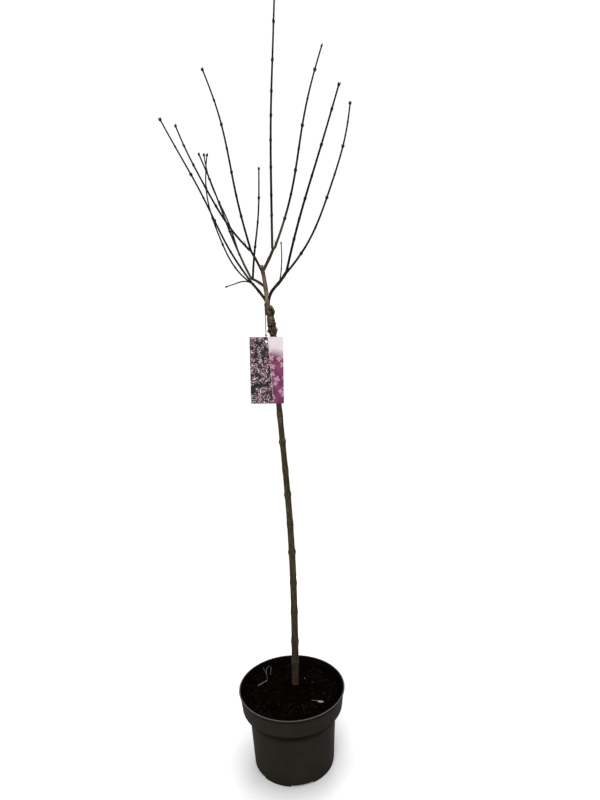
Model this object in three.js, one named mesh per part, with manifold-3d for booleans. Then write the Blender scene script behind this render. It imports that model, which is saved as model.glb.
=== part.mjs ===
// A young lilac grafted on a clear stem, a half-standard in winter with no leaves, in its
// round nursery pot, with a picture label hung below the crown.
// Millimetres, +Z up. The origin is the centre of the pot's flat underside. The label faces
// -Y, and +X is to its right.

import * as THREE from 'three';
import { mergeVertices } from 'three/addons/utils/BufferGeometryUtils.js';
import Module from 'manifold-3d';

const wasm = await Module();
wasm.setup();

// ---------------------------------------------------------------- driving dimensions

const GAP = 0.3; // clearance between pieces that touch

const POT = {
  height: 175,
  rimRadius: 116.5,
  lipWidth: 3,
  lipDrop: 2.4,
  lipReach: 1.7, // how far the lip stands out over the collar
  wall: 2,
  collarDrop: 40.5, // rim to the start of the rounded step under the collar
  collarRadius: 110.2,
  stepDrop: 7.5,
  bodyTopRadius: 95.4,
  footRadius: 88.3,
  footWidth: 5,
  panelLift: 3.5, // the raised part of the underside, and the height of the notches
  hubRadius: 24,
  notches: 5,
  notchWidth: 48,
  notchInnerRadius: 62,
  firstNotch: THREE.MathUtils.degToRad(-79), // a little right of the front
  drainRadius: 7,
  drainRing: 66,
  segments: 40,
};

const SOIL = {
  level: 163,
  flatRadius: 34, // level ground round the stem
  edgeDrop: 2, // how far the edge lies under the middle
  rings: [34, 60, 86],
  relief: 2.2,
};

// Every limb runs from its foot to its tip, and sways in the upright plane that holds both
// ends: bow is one wave's height, crook two half waves' and curl three's. radii are at the
// foot and the tip, and nodes are distances from the foot.
const TRUNK = {
  foot: [7.4, 20, SOIL.level - 4],
  tip: [-9, 2, 953],
  bow: -14.2,
  crook: -2.7,
  curl: 1.2,
  radii: [8.1, 5.15],
  flare: 0.3,
  flareLength: 10,
  nodes: [58, 108, 176, 246, 316, 382, 448, 506, 565, 622, 680, 736],
  nodeSwell: 0.7,
  sides: 10,
  step: 40,
  cutLow: SOIL.level + GAP,
  cutHigh: 938,
};

const UNION = {
  foot: [-6.8, 2.6, 934],
  tip: [-9.2, 0, 1006.5],
  bow: 3.2,
  crook: -1.5,
  // distance from the foot and radius there
  girths: [
    [0, 5.3], [6, 5.7], [14, 6.8], [17, 7.4], [21, 8.9], [29, 7.7], [35, 8.3],
    [45, 7.5], [53, 6.8], [60, 7.5], [67, 6], [73, 3.2],
  ],
  lumps: 0.45,
  knobHeight: 957, // a stubby knob on the left
  knobRadius: 2.4,
  knobLength: 5.5,
  sides: 16,
  step: 4,
  cutLow: TRUNK.cutHigh + GAP,
};

const SCION = {
  foot: [-16.8, -1, 986],
  tip: [-25.2, 0, 1085.5],
  bow: -2.8,
  radii: [5, 3.5],
  nodes: [29, 56, 87],
  nodeSwell: 0.5,
  sides: 12,
  step: 9,
};

const BOUGH = { sides: 8, step: 12, nodeSwell: 0.45, knuckle: 0.5 };

const BOUGHS = {
  bough_left_low: {
    foot: [-17.5, -1.6, 1013], tip: [-45, -8, 1051],
    bow: -1, radii: [2.9, 2.5], nodes: [26],
  },
  bough_left_mid: {
    foot: [-18.5, 0, 1041], tip: [-46, 10, 1060],
    bow: -1.6, radii: [2.8, 2.4], nodes: [16],
  },
  bough_right: {
    foot: [-15.3, -1, 1008], tip: [24, -8, 1070],
    bow: -4.9, crook: -2.4, radii: [3.4, 2.8], nodes: [46, 66],
  },
  bough_top_right: {
    foot: [-23, 0, 1073], tip: [0.8, 0.2, 1117.6],
    bow: 0.8, radii: [3.2, 2.8], nodes: [27],
  },
  bough_top_left: {
    foot: [-23, 0, 1070], tip: [-46, 2, 1116],
    bow: -0.6, radii: [2.6, 2.2], nodes: [31],
  },
};

const SHOOT = {
  sides: 5,
  step: 60,
  radii: [2.2, 1.5],
  nodeSwell: 0.4,
  budLength: 5.6,
  budWidth: 3.4,
  budLean: THREE.MathUtils.degToRad(24),
  lowBuds: 0.5, // size of buds at the foot, as a share of those at the tip
  tipBudLength: 7.4,
  tipBudWidth: 4.4,
  tipBudLean: THREE.MathUtils.degToRad(14),
  tipSeat: 1.2, // the end buds' place below the tip
  firstTurn: 0.2, // radians that the lowest pair is turned about the shoot
  budScale: 1,
};

const SHOOTS = {
  shoot_centre: {
    on: 'bough_top_right', foot: [-2.2, -0.8, 1116], tip: [23, -15, 1582],
    bow: -5.3, crook: -0.3, curl: 0.6, radii: [2.45, 1.55], nodes: [63, 100, 151, 200, 243, 286, 339, 403],
  },
  shoot_top_right: {
    on: 'bough_top_right', foot: [2.6, 0.8, 1116.6], tip: [107.4, 40, 1494.5],
    bow: 2.2, crook: 5.6, curl: 0.3, radii: [2.5, 1.5], nodes: [61, 110, 156, 198, 241, 293, 348],
  },
  shoot_right_inner: {
    on: 'bough_right', foot: [23.6, -9.4, 1069], tip: [131, -60, 1391],
    bow: -3.2, crook: -1.4, radii: [2.5, 1.65], nodes: [64, 104, 141, 183, 239, 301],
  },
  shoot_right_outer: {
    on: 'bough_right', foot: [24.4, -6.6, 1069], tip: [160.4, 45, 1390.4],
    bow: 24.6, crook: 1.8, curl: 1.7, radii: [2.3, 1.55], nodes: [48, 108, 170, 219, 275, 323],
  },
  shoot_top_left_inner: {
    on: 'bough_top_left', foot: [-44.9, 1.3, 1115.4], tip: [-121.6, 24.7, 1454],
    bow: -5.1, crook: 4.3, nodes: [66, 108, 151, 196, 241, 288],
  },
  shoot_top_left_outer: {
    on: 'bough_top_left', foot: [-47.1, 2.7, 1114.6], tip: [-187.8, 69.4, 1367],
    bow: 13.5, crook: 1.6, curl: 0.8, firstTurn: 1.8, nodes: [72, 115, 160, 211, 255],
  },
  shoot_low_left: {
    on: 'bough_left_low', foot: [-44.6, -7.2, 1050.6], tip: [-194.7, -44.4, 1347.3],
    bow: 3.1, crook: 3.2, curl: 1.3, radii: [2.1, 1.35], firstTurn: 1.8, nodes: [72, 136, 182, 228, 284],
  },
  shoot_low_front: {
    on: 'bough_left_low', foot: [-46, -9.4, 1050.6], tip: [-105.2, -108.4, 1267.8],
    bow: 46.7, crook: -1.7, curl: 2.8, radii: [1.6, 1.05], firstTurn: 1.8, budScale: 0.85,
    nodes: [58, 110, 160, 212],
  },
  shoot_mid_back: {
    on: 'bough_left_mid', foot: [-46.4, 11.4, 1059.2], tip: [-150.2, 109, 1321],
    bow: 2.9, crook: 2.5, nodes: [60, 113, 178, 236],
  },
  shoot_mid_front: {
    on: 'bough_left_mid', foot: [-46.6, 8.6, 1059.2], tip: [-119, -44.5, 1283.4],
    bow: 5.7, crook: -1.4, curl: 3.1, radii: [1.6, 1.05], budScale: 0.85, nodes: [52, 104, 156, 206],
  },
  shoot_mid_upright: {
    on: 'bough_left_mid', foot: [-44, 10, 1058.5], tip: [-26, 84.6, 1282.4],
    bow: 9.3, crook: -4.2, curl: -1.4, radii: [2.2, 1.5], firstTurn: 1.8, nodes: [70, 127, 179],
  },
};

const TWIG = {
  sides: 5, radii: [1.4, 1.05], nodeSwell: 0.3, tipBudLength: 4.6, tipBudWidth: 3.8, tipSeat: 0.6,
};

const TWIGS = {
  twig_right: { on: 'bough_right', foot: [8.8, -4.8, 1050], tip: [15, 30, 1128], bow: 12.8, nodes: [38] },
  twig_left: {
    on: 'bough_left_low', foot: [-43, -8, 1049.5], tip: [-92, -30, 1045], bow: 5.7, crook: 1.5, nodes: [30],
  },
};

const LABEL = {
  width: 67,
  height: 135,
  thickness: 0.6,
  cornerRadius: 2,
  holeRadius: 2.6,
  holeDrop: 8.5, // hole centre below the top edge
  hole: [-21.9, -5.2, 935.8], // where the hole's centre hangs
  roll: THREE.MathUtils.degToRad(1.4),
};

const TIE = {
  loopAt: 32.5, // along the scion, from its foot
  loopRise: 1.95, // slope of the loop, from low on the left to high over the right bough
  radius: 0.8,
  sides: 6,
  segments: 24,
  knotRise: 12, // knot above the label's hole
};

const COLOURS = {
  pot: 0x2b2823,
  soil: 0x17110c,
  trunk: 0x46402e,
  union: 0x463d2c,
  scion: 0x6f5a45,
  bough: 0x2f2a20,
  shoot: 0x26221b,
  twig: 0x4a463f,
  label: 0x8a4a70,
  tie: 0x8f7c63,
};

// ---------------------------------------------------------------- solids

const AXIS_Y = new THREE.Vector3(0, 1, 0);

// The closed solid that a geometry's surface bounds.
function toSolid(geometry) {
  const bare = geometry.clone();
  bare.deleteAttribute('normal');
  bare.deleteAttribute('uv');
  const merged = mergeVertices(bare);
  const index = merged.index.array;
  const triangles = [];
  for (let i = 0; i < index.length; i += 3) {
    const [a, b, c] = [index[i], index[i + 1], index[i + 2]];
    if (a !== b && b !== c && c !== a) {
      triangles.push(a, b, c);
    }
  }
  const mesh = new wasm.Mesh({
    numProp: 3,
    vertProperties: Float32Array.from(merged.attributes.position.array),
    triVerts: Uint32Array.from(triangles),
  });
  mesh.merge();
  return new wasm.Manifold(mesh);
}

function toGeometry(solid) {
  const mesh = solid.getMesh();
  const geometry = new THREE.BufferGeometry();
  geometry.setAttribute('position', new THREE.BufferAttribute(mesh.vertProperties, 3));
  geometry.setIndex(new THREE.BufferAttribute(mesh.triVerts, 1));
  return geometry;
}

const join = (solids) => solids.reduce((whole, piece) => whole.add(piece));

// The piece with its neighbours cut away, and any loose scrap dropped.
function cutClear(piece, neighbours) {
  const rest = neighbours.reduce((left, neighbour) => left.subtract(neighbour), piece);
  const parts = rest.decompose();
  return parts.reduce((best, part) => (part.volume() > best.volume() ? part : best));
}

// A profile of [radius, height] pairs turned about the Z axis.
function turned(profile, segments) {
  const points = profile.map(([radius, height]) => new THREE.Vector2(radius, height));
  return new THREE.LatheGeometry(points, segments).rotateX(Math.PI / 2);
}

function box(size, centre, turn = 0) {
  const geometry = new THREE.BoxGeometry(...size);
  geometry.translate(...centre);
  return toSolid(geometry.rotateZ(turn));
}

// Cuts a solid level below one height, above another, or both.
function sliced(solid, low, high) {
  const reach = 400;
  const below = low === undefined ? [] : [box([reach, reach, reach], [0, 0, low - reach / 2])];
  const above = high === undefined ? [] : [box([reach, reach, reach], [0, 0, high + reach / 2])];
  return cutClear(solid, [...below, ...above]);
}

// ---------------------------------------------------------------- limbs

class LimbLine extends THREE.Curve {
  constructor({ foot, tip, bow = 0, crook = 0, curl = 0 }) {
    super();
    this.foot = new THREE.Vector3(...foot);
    this.chord = new THREE.Vector3(...tip).sub(this.foot);
    const along = this.chord.clone().normalize();
    const level = new THREE.Vector3(this.chord.x, this.chord.y, 0).normalize();
    this.side = level.addScaledVector(along, -level.dot(along)).normalize();
    this.across = new THREE.Vector3().crossVectors(this.side, along);
    this.sways = [bow, crook, curl];
  }

  getPoint(t, target = new THREE.Vector3()) {
    const waves = [4 * t * (1 - t), Math.sin(2 * Math.PI * t), Math.sin(3 * Math.PI * t)];
    const sway = waves.reduce((sum, wave, i) => sum + wave * this.sways[i], 0);
    return target.copy(this.foot).addScaledVector(this.chord, t).addScaledVector(this.side, sway);
  }

  // The place and directions at a distance from the foot, straight on past either end.
  frameAt(distance) {
    const length = this.getLength();
    const inside = THREE.MathUtils.clamp(distance, 0, length);
    const along = this.getTangentAt(inside / length);
    const place = this.getPointAt(inside / length).addScaledVector(along, distance - inside);
    const out = new THREE.Vector3().crossVectors(along, this.across).normalize();
    return { place, along, out, across: this.across };
  }
}

const NODE_SPREAD = 1.1; // how far a node's swelling reaches, in foot radii
const RING_SPREAD = 1.4; // how far from a node the rings that mark it lie, in foot radii

const bump = (distance, centre, width) => Math.exp(-(((distance - centre) / width) ** 2));

function limbRadius(limb, distance, length) {
  const { radii, flare = 0, flareLength = 1, nodes = [], nodeSwell, knuckle = 0 } = limb;
  const t = THREE.MathUtils.clamp(distance / length, 0, 1);
  const nodeWidth = radii[0] * NODE_SPREAD;
  const swelling = nodes.reduce((sum, node) => sum + nodeSwell * bump(distance, node, nodeWidth), 0);
  return THREE.MathUtils.lerp(radii[0], radii[1], t)
    + flare * Math.exp(-Math.max(distance, 0) / flareLength)
    + swelling
    + knuckle * bump(distance, length - 1, radii[1]);
}

// Distances of the rings along a limb: even steps, with each node's swelling marked out.
function ringDistances(limb, length) {
  const { nodes = [], step = 26, knuckle = 0, radii } = limb;
  const width = radii[0] * RING_SPREAD;
  const marked = nodes.flatMap((node) => [node - width, node, node + width]);
  const shoulder = knuckle > 0 ? [length - 1 - radii[1] * 1.6, length - 1] : [];
  const count = Math.max(2, Math.round(length / step));
  const even = Array.from({ length: count + 1 }, (_, i) => (length * i) / count);
  const isFree = (d) => marked.every((mark) => Math.abs(mark - d) > width);
  const clear = even.filter((d, i) => i === 0 || i === count || isFree(d));
  const all = [...clear, ...marked, ...shoulder].filter((d) => d >= 0 && d <= length).sort((a, b) => a - b);
  return all.filter((d, i) => i === 0 || d - all[i - 1] > 0.4);
}

// A limb's wood: a turned profile bent along its line. grow adds to the radius and both ends.
function limbSolid(limb, grow = 0) {
  const line = new LimbLine(limb);
  const length = line.getLength();
  const distances = ringDistances(limb, length);
  const profile = distances.map((d) => {
    const stretch = d === 0 ? -grow : d === length ? grow : 0;
    return new THREE.Vector2(limbRadius(limb, d, length) + grow, d + stretch);
  });
  const closed = [new THREE.Vector2(0, -grow), ...profile, new THREE.Vector2(0, length + grow)];
  const geometry = new THREE.LatheGeometry(closed, limb.sides);
  bendAlong(geometry, line, limb.relief);
  return toSolid(geometry);
}

function bendAlong(geometry, line, relief = () => 1) {
  const position = geometry.attributes.position;
  for (let i = 0; i < position.count; i += 1) {
    const [x, distance, z] = [position.getX(i), position.getY(i), position.getZ(i)];
    const { place, out, across } = line.frameAt(distance);
    const scale = relief(distance, Math.atan2(z, x));
    place.addScaledVector(out, x * scale).addScaledVector(across, z * scale);
    position.setXYZ(i, place.x, place.y, place.z);
  }
}

// A bud: a four-sided double cone whose root is sunk in the wood.
function bud(place, direction, length, width) {
  const sunk = 1;
  const profile = [[0, -sunk], [width / 2, length * 0.35], [0, length]];
  const points = profile.map(([radius, height]) => new THREE.Vector2(radius, height));
  const geometry = new THREE.LatheGeometry(points, 4);
  geometry.applyQuaternion(new THREE.Quaternion().setFromUnitVectors(AXIS_Y, direction));
  geometry.translate(place.x, place.y, place.z);
  return toSolid(geometry);
}

// A pair of buds on opposite sides of a limb, leaning out from it.
function budPair(limb, distance, turn, lean, length, width) {
  const line = new LimbLine(limb);
  const radius = limbRadius(limb, distance, line.getLength());
  const { place, along, out, across } = line.frameAt(distance);
  return [0, Math.PI].map((half) => {
    const outward = out.clone().multiplyScalar(Math.cos(turn + half))
      .addScaledVector(across, Math.sin(turn + half));
    const direction = along.clone().multiplyScalar(Math.cos(lean)).addScaledVector(outward, Math.sin(lean));
    const seat = place.clone().addScaledVector(outward, radius - 0.25 * width);
    return bud(seat, direction, length, width);
  });
}

// ---------------------------------------------------------------- pot and soil

const wallStart = POT.panelLift + POT.wall;
const stepTop = POT.height - POT.collarDrop;
const stepLow = stepTop - POT.stepDrop;

// The rounded step under the collar, from the body out to the collar's foot.
function stepArc(inset) {
  const centre = POT.bodyTopRadius + 0.8;
  const steps = 4;
  return Array.from({ length: steps + 1 }, (_, i) => {
    const angle = (-Math.PI / 2) * (1 - i / steps);
    const reach = POT.collarRadius - centre - inset;
    return [centre + reach * Math.cos(angle), stepTop + (POT.stepDrop - inset) * Math.sin(angle)];
  });
}

// The inner wall from the middle of the floor up to the lip.
const innerWall = [
  [0, POT.wall],
  [POT.hubRadius - 2, POT.wall],
  [POT.hubRadius + 1, wallStart],
  [POT.footRadius - POT.wall, wallStart],
  [POT.bodyTopRadius - POT.wall, stepLow + POT.wall - 0.5],
  ...stepArc(POT.wall),
  [POT.rimRadius - POT.lipWidth, POT.height - POT.lipDrop],
];

function makePot() {
  const outer = [
    [0, 0],
    [POT.hubRadius, 0],
    [POT.hubRadius + 3, POT.panelLift],
    [POT.footRadius - POT.footWidth - 2, POT.panelLift],
    [POT.footRadius - POT.footWidth, 0],
    [POT.footRadius - 1, 0],
    [POT.footRadius, 1],
    [POT.bodyTopRadius, stepLow],
    ...stepArc(0),
    [POT.rimRadius - POT.lipReach, POT.height - POT.lipDrop - 0.8],
    [POT.rimRadius, POT.height - POT.lipDrop],
    [POT.rimRadius, POT.height - 0.6],
    [POT.rimRadius - 0.6, POT.height],
    [POT.rimRadius - POT.lipWidth + 0.6, POT.height],
  ];
  const shell = toSolid(turned([...outer, ...innerWall.toReversed()], POT.segments));
  const cuts = [];
  for (let i = 0; i < POT.notches; i += 1) {
    const turn = POT.firstNotch + (2 * Math.PI * i) / POT.notches;
    const reach = POT.footRadius - POT.notchInnerRadius + 10;
    const middle = POT.notchInnerRadius + reach / 2;
    cuts.push(box([reach, POT.notchWidth, 2 * POT.panelLift], [middle, 0, 0], turn));
    const drain = new THREE.CylinderGeometry(POT.drainRadius, POT.drainRadius, 20, 12).rotateX(Math.PI / 2);
    drain.translate(POT.drainRing, 0, 0).rotateZ(turn);
    cuts.push(toSolid(drain));
  }
  return cutClear(shell, cuts);
}

// Gentle rises and hollows of the soil, none round the stem.
function soilRelief(x, y) {
  const waves = Math.sin(x / 17 + y / 29) + Math.sin(y / 13 - x / 31) + 0.7 * Math.sin((x + y) / 9);
  return (SOIL.relief * waves) / 2.7;
}

function makeSoil() {
  const fitted = innerWall.slice(0, -1).map(([r, z]) => [Math.max(0, r - GAP), z + GAP]);
  const [lowRadius, lowHeight] = innerWall.at(-2);
  const [topRadius, topHeight] = innerWall.at(-1);
  const rise = (SOIL.level - lowHeight) / (topHeight - lowHeight);
  const edge = lowRadius + (topRadius - lowRadius) * rise - 2 * GAP;
  const surface = [...SOIL.rings.toReversed(), 0].map((radius) => [radius, SOIL.level]);
  const geometry = turned([...fitted, [edge, SOIL.level - SOIL.edgeDrop], ...surface], POT.segments);
  const position = geometry.attributes.position;
  for (let i = 0; i < position.count; i += 1) {
    const [x, y, z] = [position.getX(i), position.getY(i), position.getZ(i)];
    const onSurface = Math.abs(z - SOIL.level) < 0.01;
    if (onSurface && Math.hypot(x, y) > SOIL.flatRadius + 1) {
      position.setZ(i, z + soilRelief(x, y));
    }
  }
  return toSolid(geometry);
}

// ---------------------------------------------------------------- stem and graft

const makeTrunk = () => sliced(limbSolid(TRUNK), TRUNK.cutLow, TRUNK.cutHigh);

// The swollen union: a lumpy stock, cut clear of the scion that is set in its side.
function makeUnion(scionSpace) {
  const line = new LimbLine(UNION);
  const length = line.getLength();
  const count = Math.round(length / UNION.step);
  const rings = Array.from({ length: count + 1 }, (_, i) => (length * i) / count);
  const profile = rings.map((d) => new THREE.Vector2(girthAt(d), d));
  const closed = [new THREE.Vector2(0, 0), ...profile, new THREE.Vector2(0, length + 1)];
  const geometry = new THREE.LatheGeometry(closed, UNION.sides);
  const relief = (distance, angle) => 1 + (UNION.lumps / 8)
    * (Math.sin(3 * angle + distance / 5) + Math.sin(2 * angle - distance / 3));
  bendAlong(geometry, line, relief);
  const knobAt = line.frameAt(UNION.knobHeight - UNION.foot[2]);
  const knobFoot = knobAt.place.addScaledVector(knobAt.out, girthAt(UNION.knobHeight - UNION.foot[2]) - 2);
  const knobUp = knobAt.out.clone().addScaledVector(knobAt.along, 0.3).normalize();
  const knob = bud(knobFoot, knobUp, UNION.knobLength, 2 * UNION.knobRadius);
  return cutClear(sliced(join([toSolid(geometry), knob]), UNION.cutLow), [scionSpace]);
}

function girthAt(distance) {
  const next = Math.max(1, UNION.girths.findIndex(([height]) => height >= distance));
  const [lowHeight, lowRadius] = UNION.girths[next - 1];
  const [highHeight, highRadius] = UNION.girths[next];
  const share = THREE.MathUtils.clamp((distance - lowHeight) / (highHeight - lowHeight), 0, 1);
  return THREE.MathUtils.lerp(lowRadius, highRadius, share);
}

// ---------------------------------------------------------------- boughs, shoots and twigs

// A bough with its swollen end.
const boughSolid = (bough, grow = 0) => limbSolid({ ...BOUGH, ...bough }, grow);

// How far a shoot's pair of buds is turned: each pair is square to the last.
const pairTurn = (limb, index) => (index % 2) * (Math.PI / 2) + limb.firstTurn;

// A year's shoot: one stem with a pair of buds at each node, and two buds at its tip.
function shootSolid(shoot) {
  const limb = { ...SHOOT, ...shoot };
  const length = new LimbLine(limb).getLength();
  const { budScale, budLean, tipBudLean } = limb;
  const pairs = limb.nodes.flatMap((node, i) => {
    const size = budScale * THREE.MathUtils.lerp(limb.lowBuds, 1, node / length);
    return budPair(limb, node, pairTurn(limb, i), budLean, size * limb.budLength, size * limb.budWidth);
  });
  const tipTurn = pairTurn(limb, limb.nodes.length);
  const [tipLength, tipWidth] = [budScale * limb.tipBudLength, budScale * limb.tipBudWidth];
  const tipBuds = budPair(limb, length - limb.tipSeat, tipTurn, tipBudLean, tipLength, tipWidth);
  return join([limbSolid(limb), ...pairs, ...tipBuds]);
}

// A thin side twig with one small bud at its end.
function twigSolid(twig) {
  const limb = { ...TWIG, ...twig };
  const line = new LimbLine(limb);
  const { place, along } = line.frameAt(line.getLength() - limb.tipSeat);
  return join([limbSolid(limb), bud(place, along, limb.tipBudLength, limb.tipBudWidth)]);
}

// ---------------------------------------------------------------- label and tie

// A card with rounded corners, drawn about its hole and stood upright.
function makeLabel() {
  const { width, height, cornerRadius: c, holeDrop, holeRadius, thickness } = LABEL;
  const [left, right, top, bottom] = [-width / 2, width / 2, holeDrop, holeDrop - height];
  const outline = new THREE.Shape();
  outline.moveTo(left + c, bottom);
  outline.lineTo(right - c, bottom);
  outline.absarc(right - c, bottom + c, c, -Math.PI / 2, 0);
  outline.absarc(right - c, top - c, c, 0, Math.PI / 2);
  outline.absarc(left + c, top - c, c, Math.PI / 2, Math.PI);
  outline.absarc(left + c, bottom + c, c, Math.PI, 1.5 * Math.PI);
  outline.closePath();
  const hole = new THREE.Path();
  hole.absarc(0, 0, holeRadius, 0, 2 * Math.PI, true);
  outline.holes.push(hole);
  const settings = { depth: thickness, bevelEnabled: false, curveSegments: 4 };
  const geometry = new THREE.ExtrudeGeometry(outline, settings);
  geometry.translate(0, 0, -thickness / 2);
  return toSolid(geometry.rotateX(Math.PI / 2));
}

// The tie: a slanting loop round the scion, a strand down from its front left, and an eye
// through the label's hole.
function makeTie(spaces) {
  const line = new LimbLine(SCION);
  const reach = limbRadius(SCION, TIE.loopAt, line.getLength()) + GAP + TIE.radius;
  const section = Array.from({ length: TIE.sides + 1 }, (_, i) => {
    const angle = (2 * Math.PI * i) / TIE.sides;
    return new THREE.Vector2(reach + TIE.radius * Math.cos(angle), TIE.radius * Math.sin(angle));
  });
  const loop = new THREE.LatheGeometry(section, TIE.segments);
  const position = loop.attributes.position;
  for (let i = 0; i < position.count; i += 1) {
    position.setY(i, TIE.loopAt + position.getY(i) - position.getX(i) * TIE.loopRise);
  }
  bendAlong(loop, line);

  const leaves = reach * Math.SQRT1_2;
  const start = line.frameAt(TIE.loopAt - leaves * TIE.loopRise);
  const strandTop = start.place.clone().addScaledVector(start.out, leaves);
  strandTop.addScaledVector(start.across, -leaves);
  const side = LABEL.thickness / 2 + GAP + TIE.radius;
  const seat = LABEL.holeRadius - GAP - TIE.radius;
  const eyeCorner = (y, z) => new THREE.Vector3(...LABEL.hole).add(new THREE.Vector3(0, y, z));
  const [lowFront, lowBack] = [eyeCorner(-side, seat), eyeCorner(side, seat)];
  const [knotFront, knotBack] = [eyeCorner(-side, TIE.knotRise), eyeCorner(side, TIE.knotRise)];
  const strands = [
    [strandTop, knotFront],
    [knotFront, lowFront],
    [lowFront, lowBack],
    [lowBack, knotBack],
    [knotBack, knotFront],
  ];
  const rods = strands.map(([from, to]) => rod(from, to, TIE.radius));
  return cutClear(join([toSolid(loop), ...rods]), spaces);
}

// A round rod between two places, a little past both.
function rod(from, to, radius) {
  const along = to.clone().sub(from);
  const geometry = new THREE.CylinderGeometry(radius, radius, along.length() + radius, TIE.sides);
  geometry.applyQuaternion(new THREE.Quaternion().setFromUnitVectors(AXIS_Y, along.normalize()));
  const middle = from.clone().add(to).multiplyScalar(0.5);
  return toSolid(geometry.translate(middle.x, middle.y, middle.z));
}

// ---------------------------------------------------------------- the whole plant

const group = new THREE.Group();
group.name = 'potted_lilac_standard';

function addPiece(name, solid, colour, roughness = 0.85) {
  const material = new THREE.MeshStandardMaterial({ color: colour, roughness, metalness: 0 });
  const mesh = new THREE.Mesh(toGeometry(solid), material);
  mesh.name = name;
  group.add(mesh);
  return mesh;
}

const scionSpace = limbSolid(SCION, GAP);
const boughSpaces = {};

addPiece('pot', makePot(), COLOURS.pot, 0.6);
addPiece('soil', makeSoil(), COLOURS.soil, 1);
addPiece('trunk', makeTrunk(), COLOURS.trunk);
addPiece('graft_union', makeUnion(scionSpace), COLOURS.union, 0.95);
addPiece('scion_stem', limbSolid(SCION), COLOURS.scion);

for (const [name, bough] of Object.entries(BOUGHS)) {
  addPiece(name, cutClear(boughSolid(bough), [scionSpace]), COLOURS.bough);
  boughSpaces[name] = boughSolid(bough, GAP);
}

// Each shoot is clear of the bough that carries it and of its earlier neighbours there.
const shootSpaces = {};
for (const [name, shoot] of Object.entries(SHOOTS)) {
  const neighbours = shootSpaces[shoot.on] ?? [];
  addPiece(name, cutClear(shootSolid(shoot), [boughSpaces[shoot.on], ...neighbours]), COLOURS.shoot);
  shootSpaces[shoot.on] = [...neighbours, limbSolid({ ...SHOOT, ...shoot }, GAP)];
}

for (const [name, twig] of Object.entries(TWIGS)) {
  addPiece(name, cutClear(twigSolid(twig), [boughSpaces[twig.on], ...shootSpaces[twig.on]]), COLOURS.twig);
}

const label = addPiece('label', makeLabel(), COLOURS.label, 0.4);
label.position.set(...LABEL.hole);
label.rotation.y = LABEL.roll;

addPiece('label_tie', makeTie([scionSpace, ...Object.values(boughSpaces)]), COLOURS.tie, 0.9);

export default group;
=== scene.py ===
"""Looks of a young grafted lilac standard, bare in winter, in its nursery pot.

Sizes are in millimetres in the frame of the solids: the origin is the centre of the pot's
underside, +Z is up and the label faces -Y. They repeat the sizes of the solids, so that each
piece stays where its solid is. Meshes are scaled to metres when they are made.
"""

import math
from types import SimpleNamespace as Sizes

import bpy
import numpy as np
from mathutils import Matrix, Vector


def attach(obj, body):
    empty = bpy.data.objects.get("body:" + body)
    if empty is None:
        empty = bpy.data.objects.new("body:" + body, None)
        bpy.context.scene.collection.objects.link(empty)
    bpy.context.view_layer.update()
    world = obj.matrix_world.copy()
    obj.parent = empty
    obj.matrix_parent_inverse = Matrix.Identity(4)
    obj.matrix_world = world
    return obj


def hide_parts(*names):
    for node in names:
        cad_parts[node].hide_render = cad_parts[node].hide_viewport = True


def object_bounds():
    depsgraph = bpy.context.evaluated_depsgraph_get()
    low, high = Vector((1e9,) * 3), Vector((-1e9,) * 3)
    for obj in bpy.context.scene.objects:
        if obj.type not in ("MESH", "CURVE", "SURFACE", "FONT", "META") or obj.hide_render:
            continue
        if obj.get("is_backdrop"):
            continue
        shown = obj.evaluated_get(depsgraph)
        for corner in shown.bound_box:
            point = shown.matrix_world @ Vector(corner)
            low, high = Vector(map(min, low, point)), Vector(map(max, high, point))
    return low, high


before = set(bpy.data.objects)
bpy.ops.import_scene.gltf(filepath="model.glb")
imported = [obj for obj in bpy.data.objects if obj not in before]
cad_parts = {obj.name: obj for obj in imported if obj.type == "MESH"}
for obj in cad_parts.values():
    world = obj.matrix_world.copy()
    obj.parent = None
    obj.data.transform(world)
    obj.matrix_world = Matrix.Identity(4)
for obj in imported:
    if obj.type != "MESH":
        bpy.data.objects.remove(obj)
CAD_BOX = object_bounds()

MM = 0.001
TAU = 2 * math.pi
QUARTER = math.pi / 2
rng = np.random.default_rng(2607)

LEFT, RIGHT, FRONT, BACK = (-1, 0, 0), (1, 0, 0), (0, -1, 0), (0, 1, 0)

# ---- sizes of the solids

POT = Sizes(
    height=175, rim=116.5, lip_width=3, lip_drop=2.4, lip_reach=1.7, wall=2, collar_drop=40.5,
    collar=110.2, step_drop=7.5, body_top=95.4, foot=88.3, foot_width=5, lift=3.5, hub=24,
    notches=5, notch_width=48, notch_inner=62, first_notch=math.radians(-79), drain=7,
    drain_ring=66,
)
SOIL = Sizes(level=163, flat=34, relief=2.2)

TRUNK = dict(
    foot=(7.4, 20, 159), tip=(-9, 2, 953), bow=-14.2, crook=-2.7, curl=1.2, radii=(8.1, 5.15),
    flare=0.3, flare_length=10, swell=0.7,
    nodes=(58, 108, 176, 246, 316, 382, 448, 506, 565, 622, 680, 736),
)
UNION = dict(foot=(-6.8, 2.6, 934), tip=(-9.2, 0, 1006.5), bow=3.2, crook=-1.5)
UNION_GIRTHS = (
    (0, 5.3), (6, 5.7), (14, 6.8), (17, 7.4), (21, 8.9), (29, 7.7), (35, 8.3),
    (45, 7.5), (53, 6.8), (60, 7.5), (67, 6), (73, 3.2),
)
SCION = dict(
    foot=(-16.8, -1, 986), tip=(-25.2, 0, 1085.5), bow=-2.8, radii=(5, 3.5), swell=0.5,
    nodes=(29, 56, 87),
)

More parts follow.
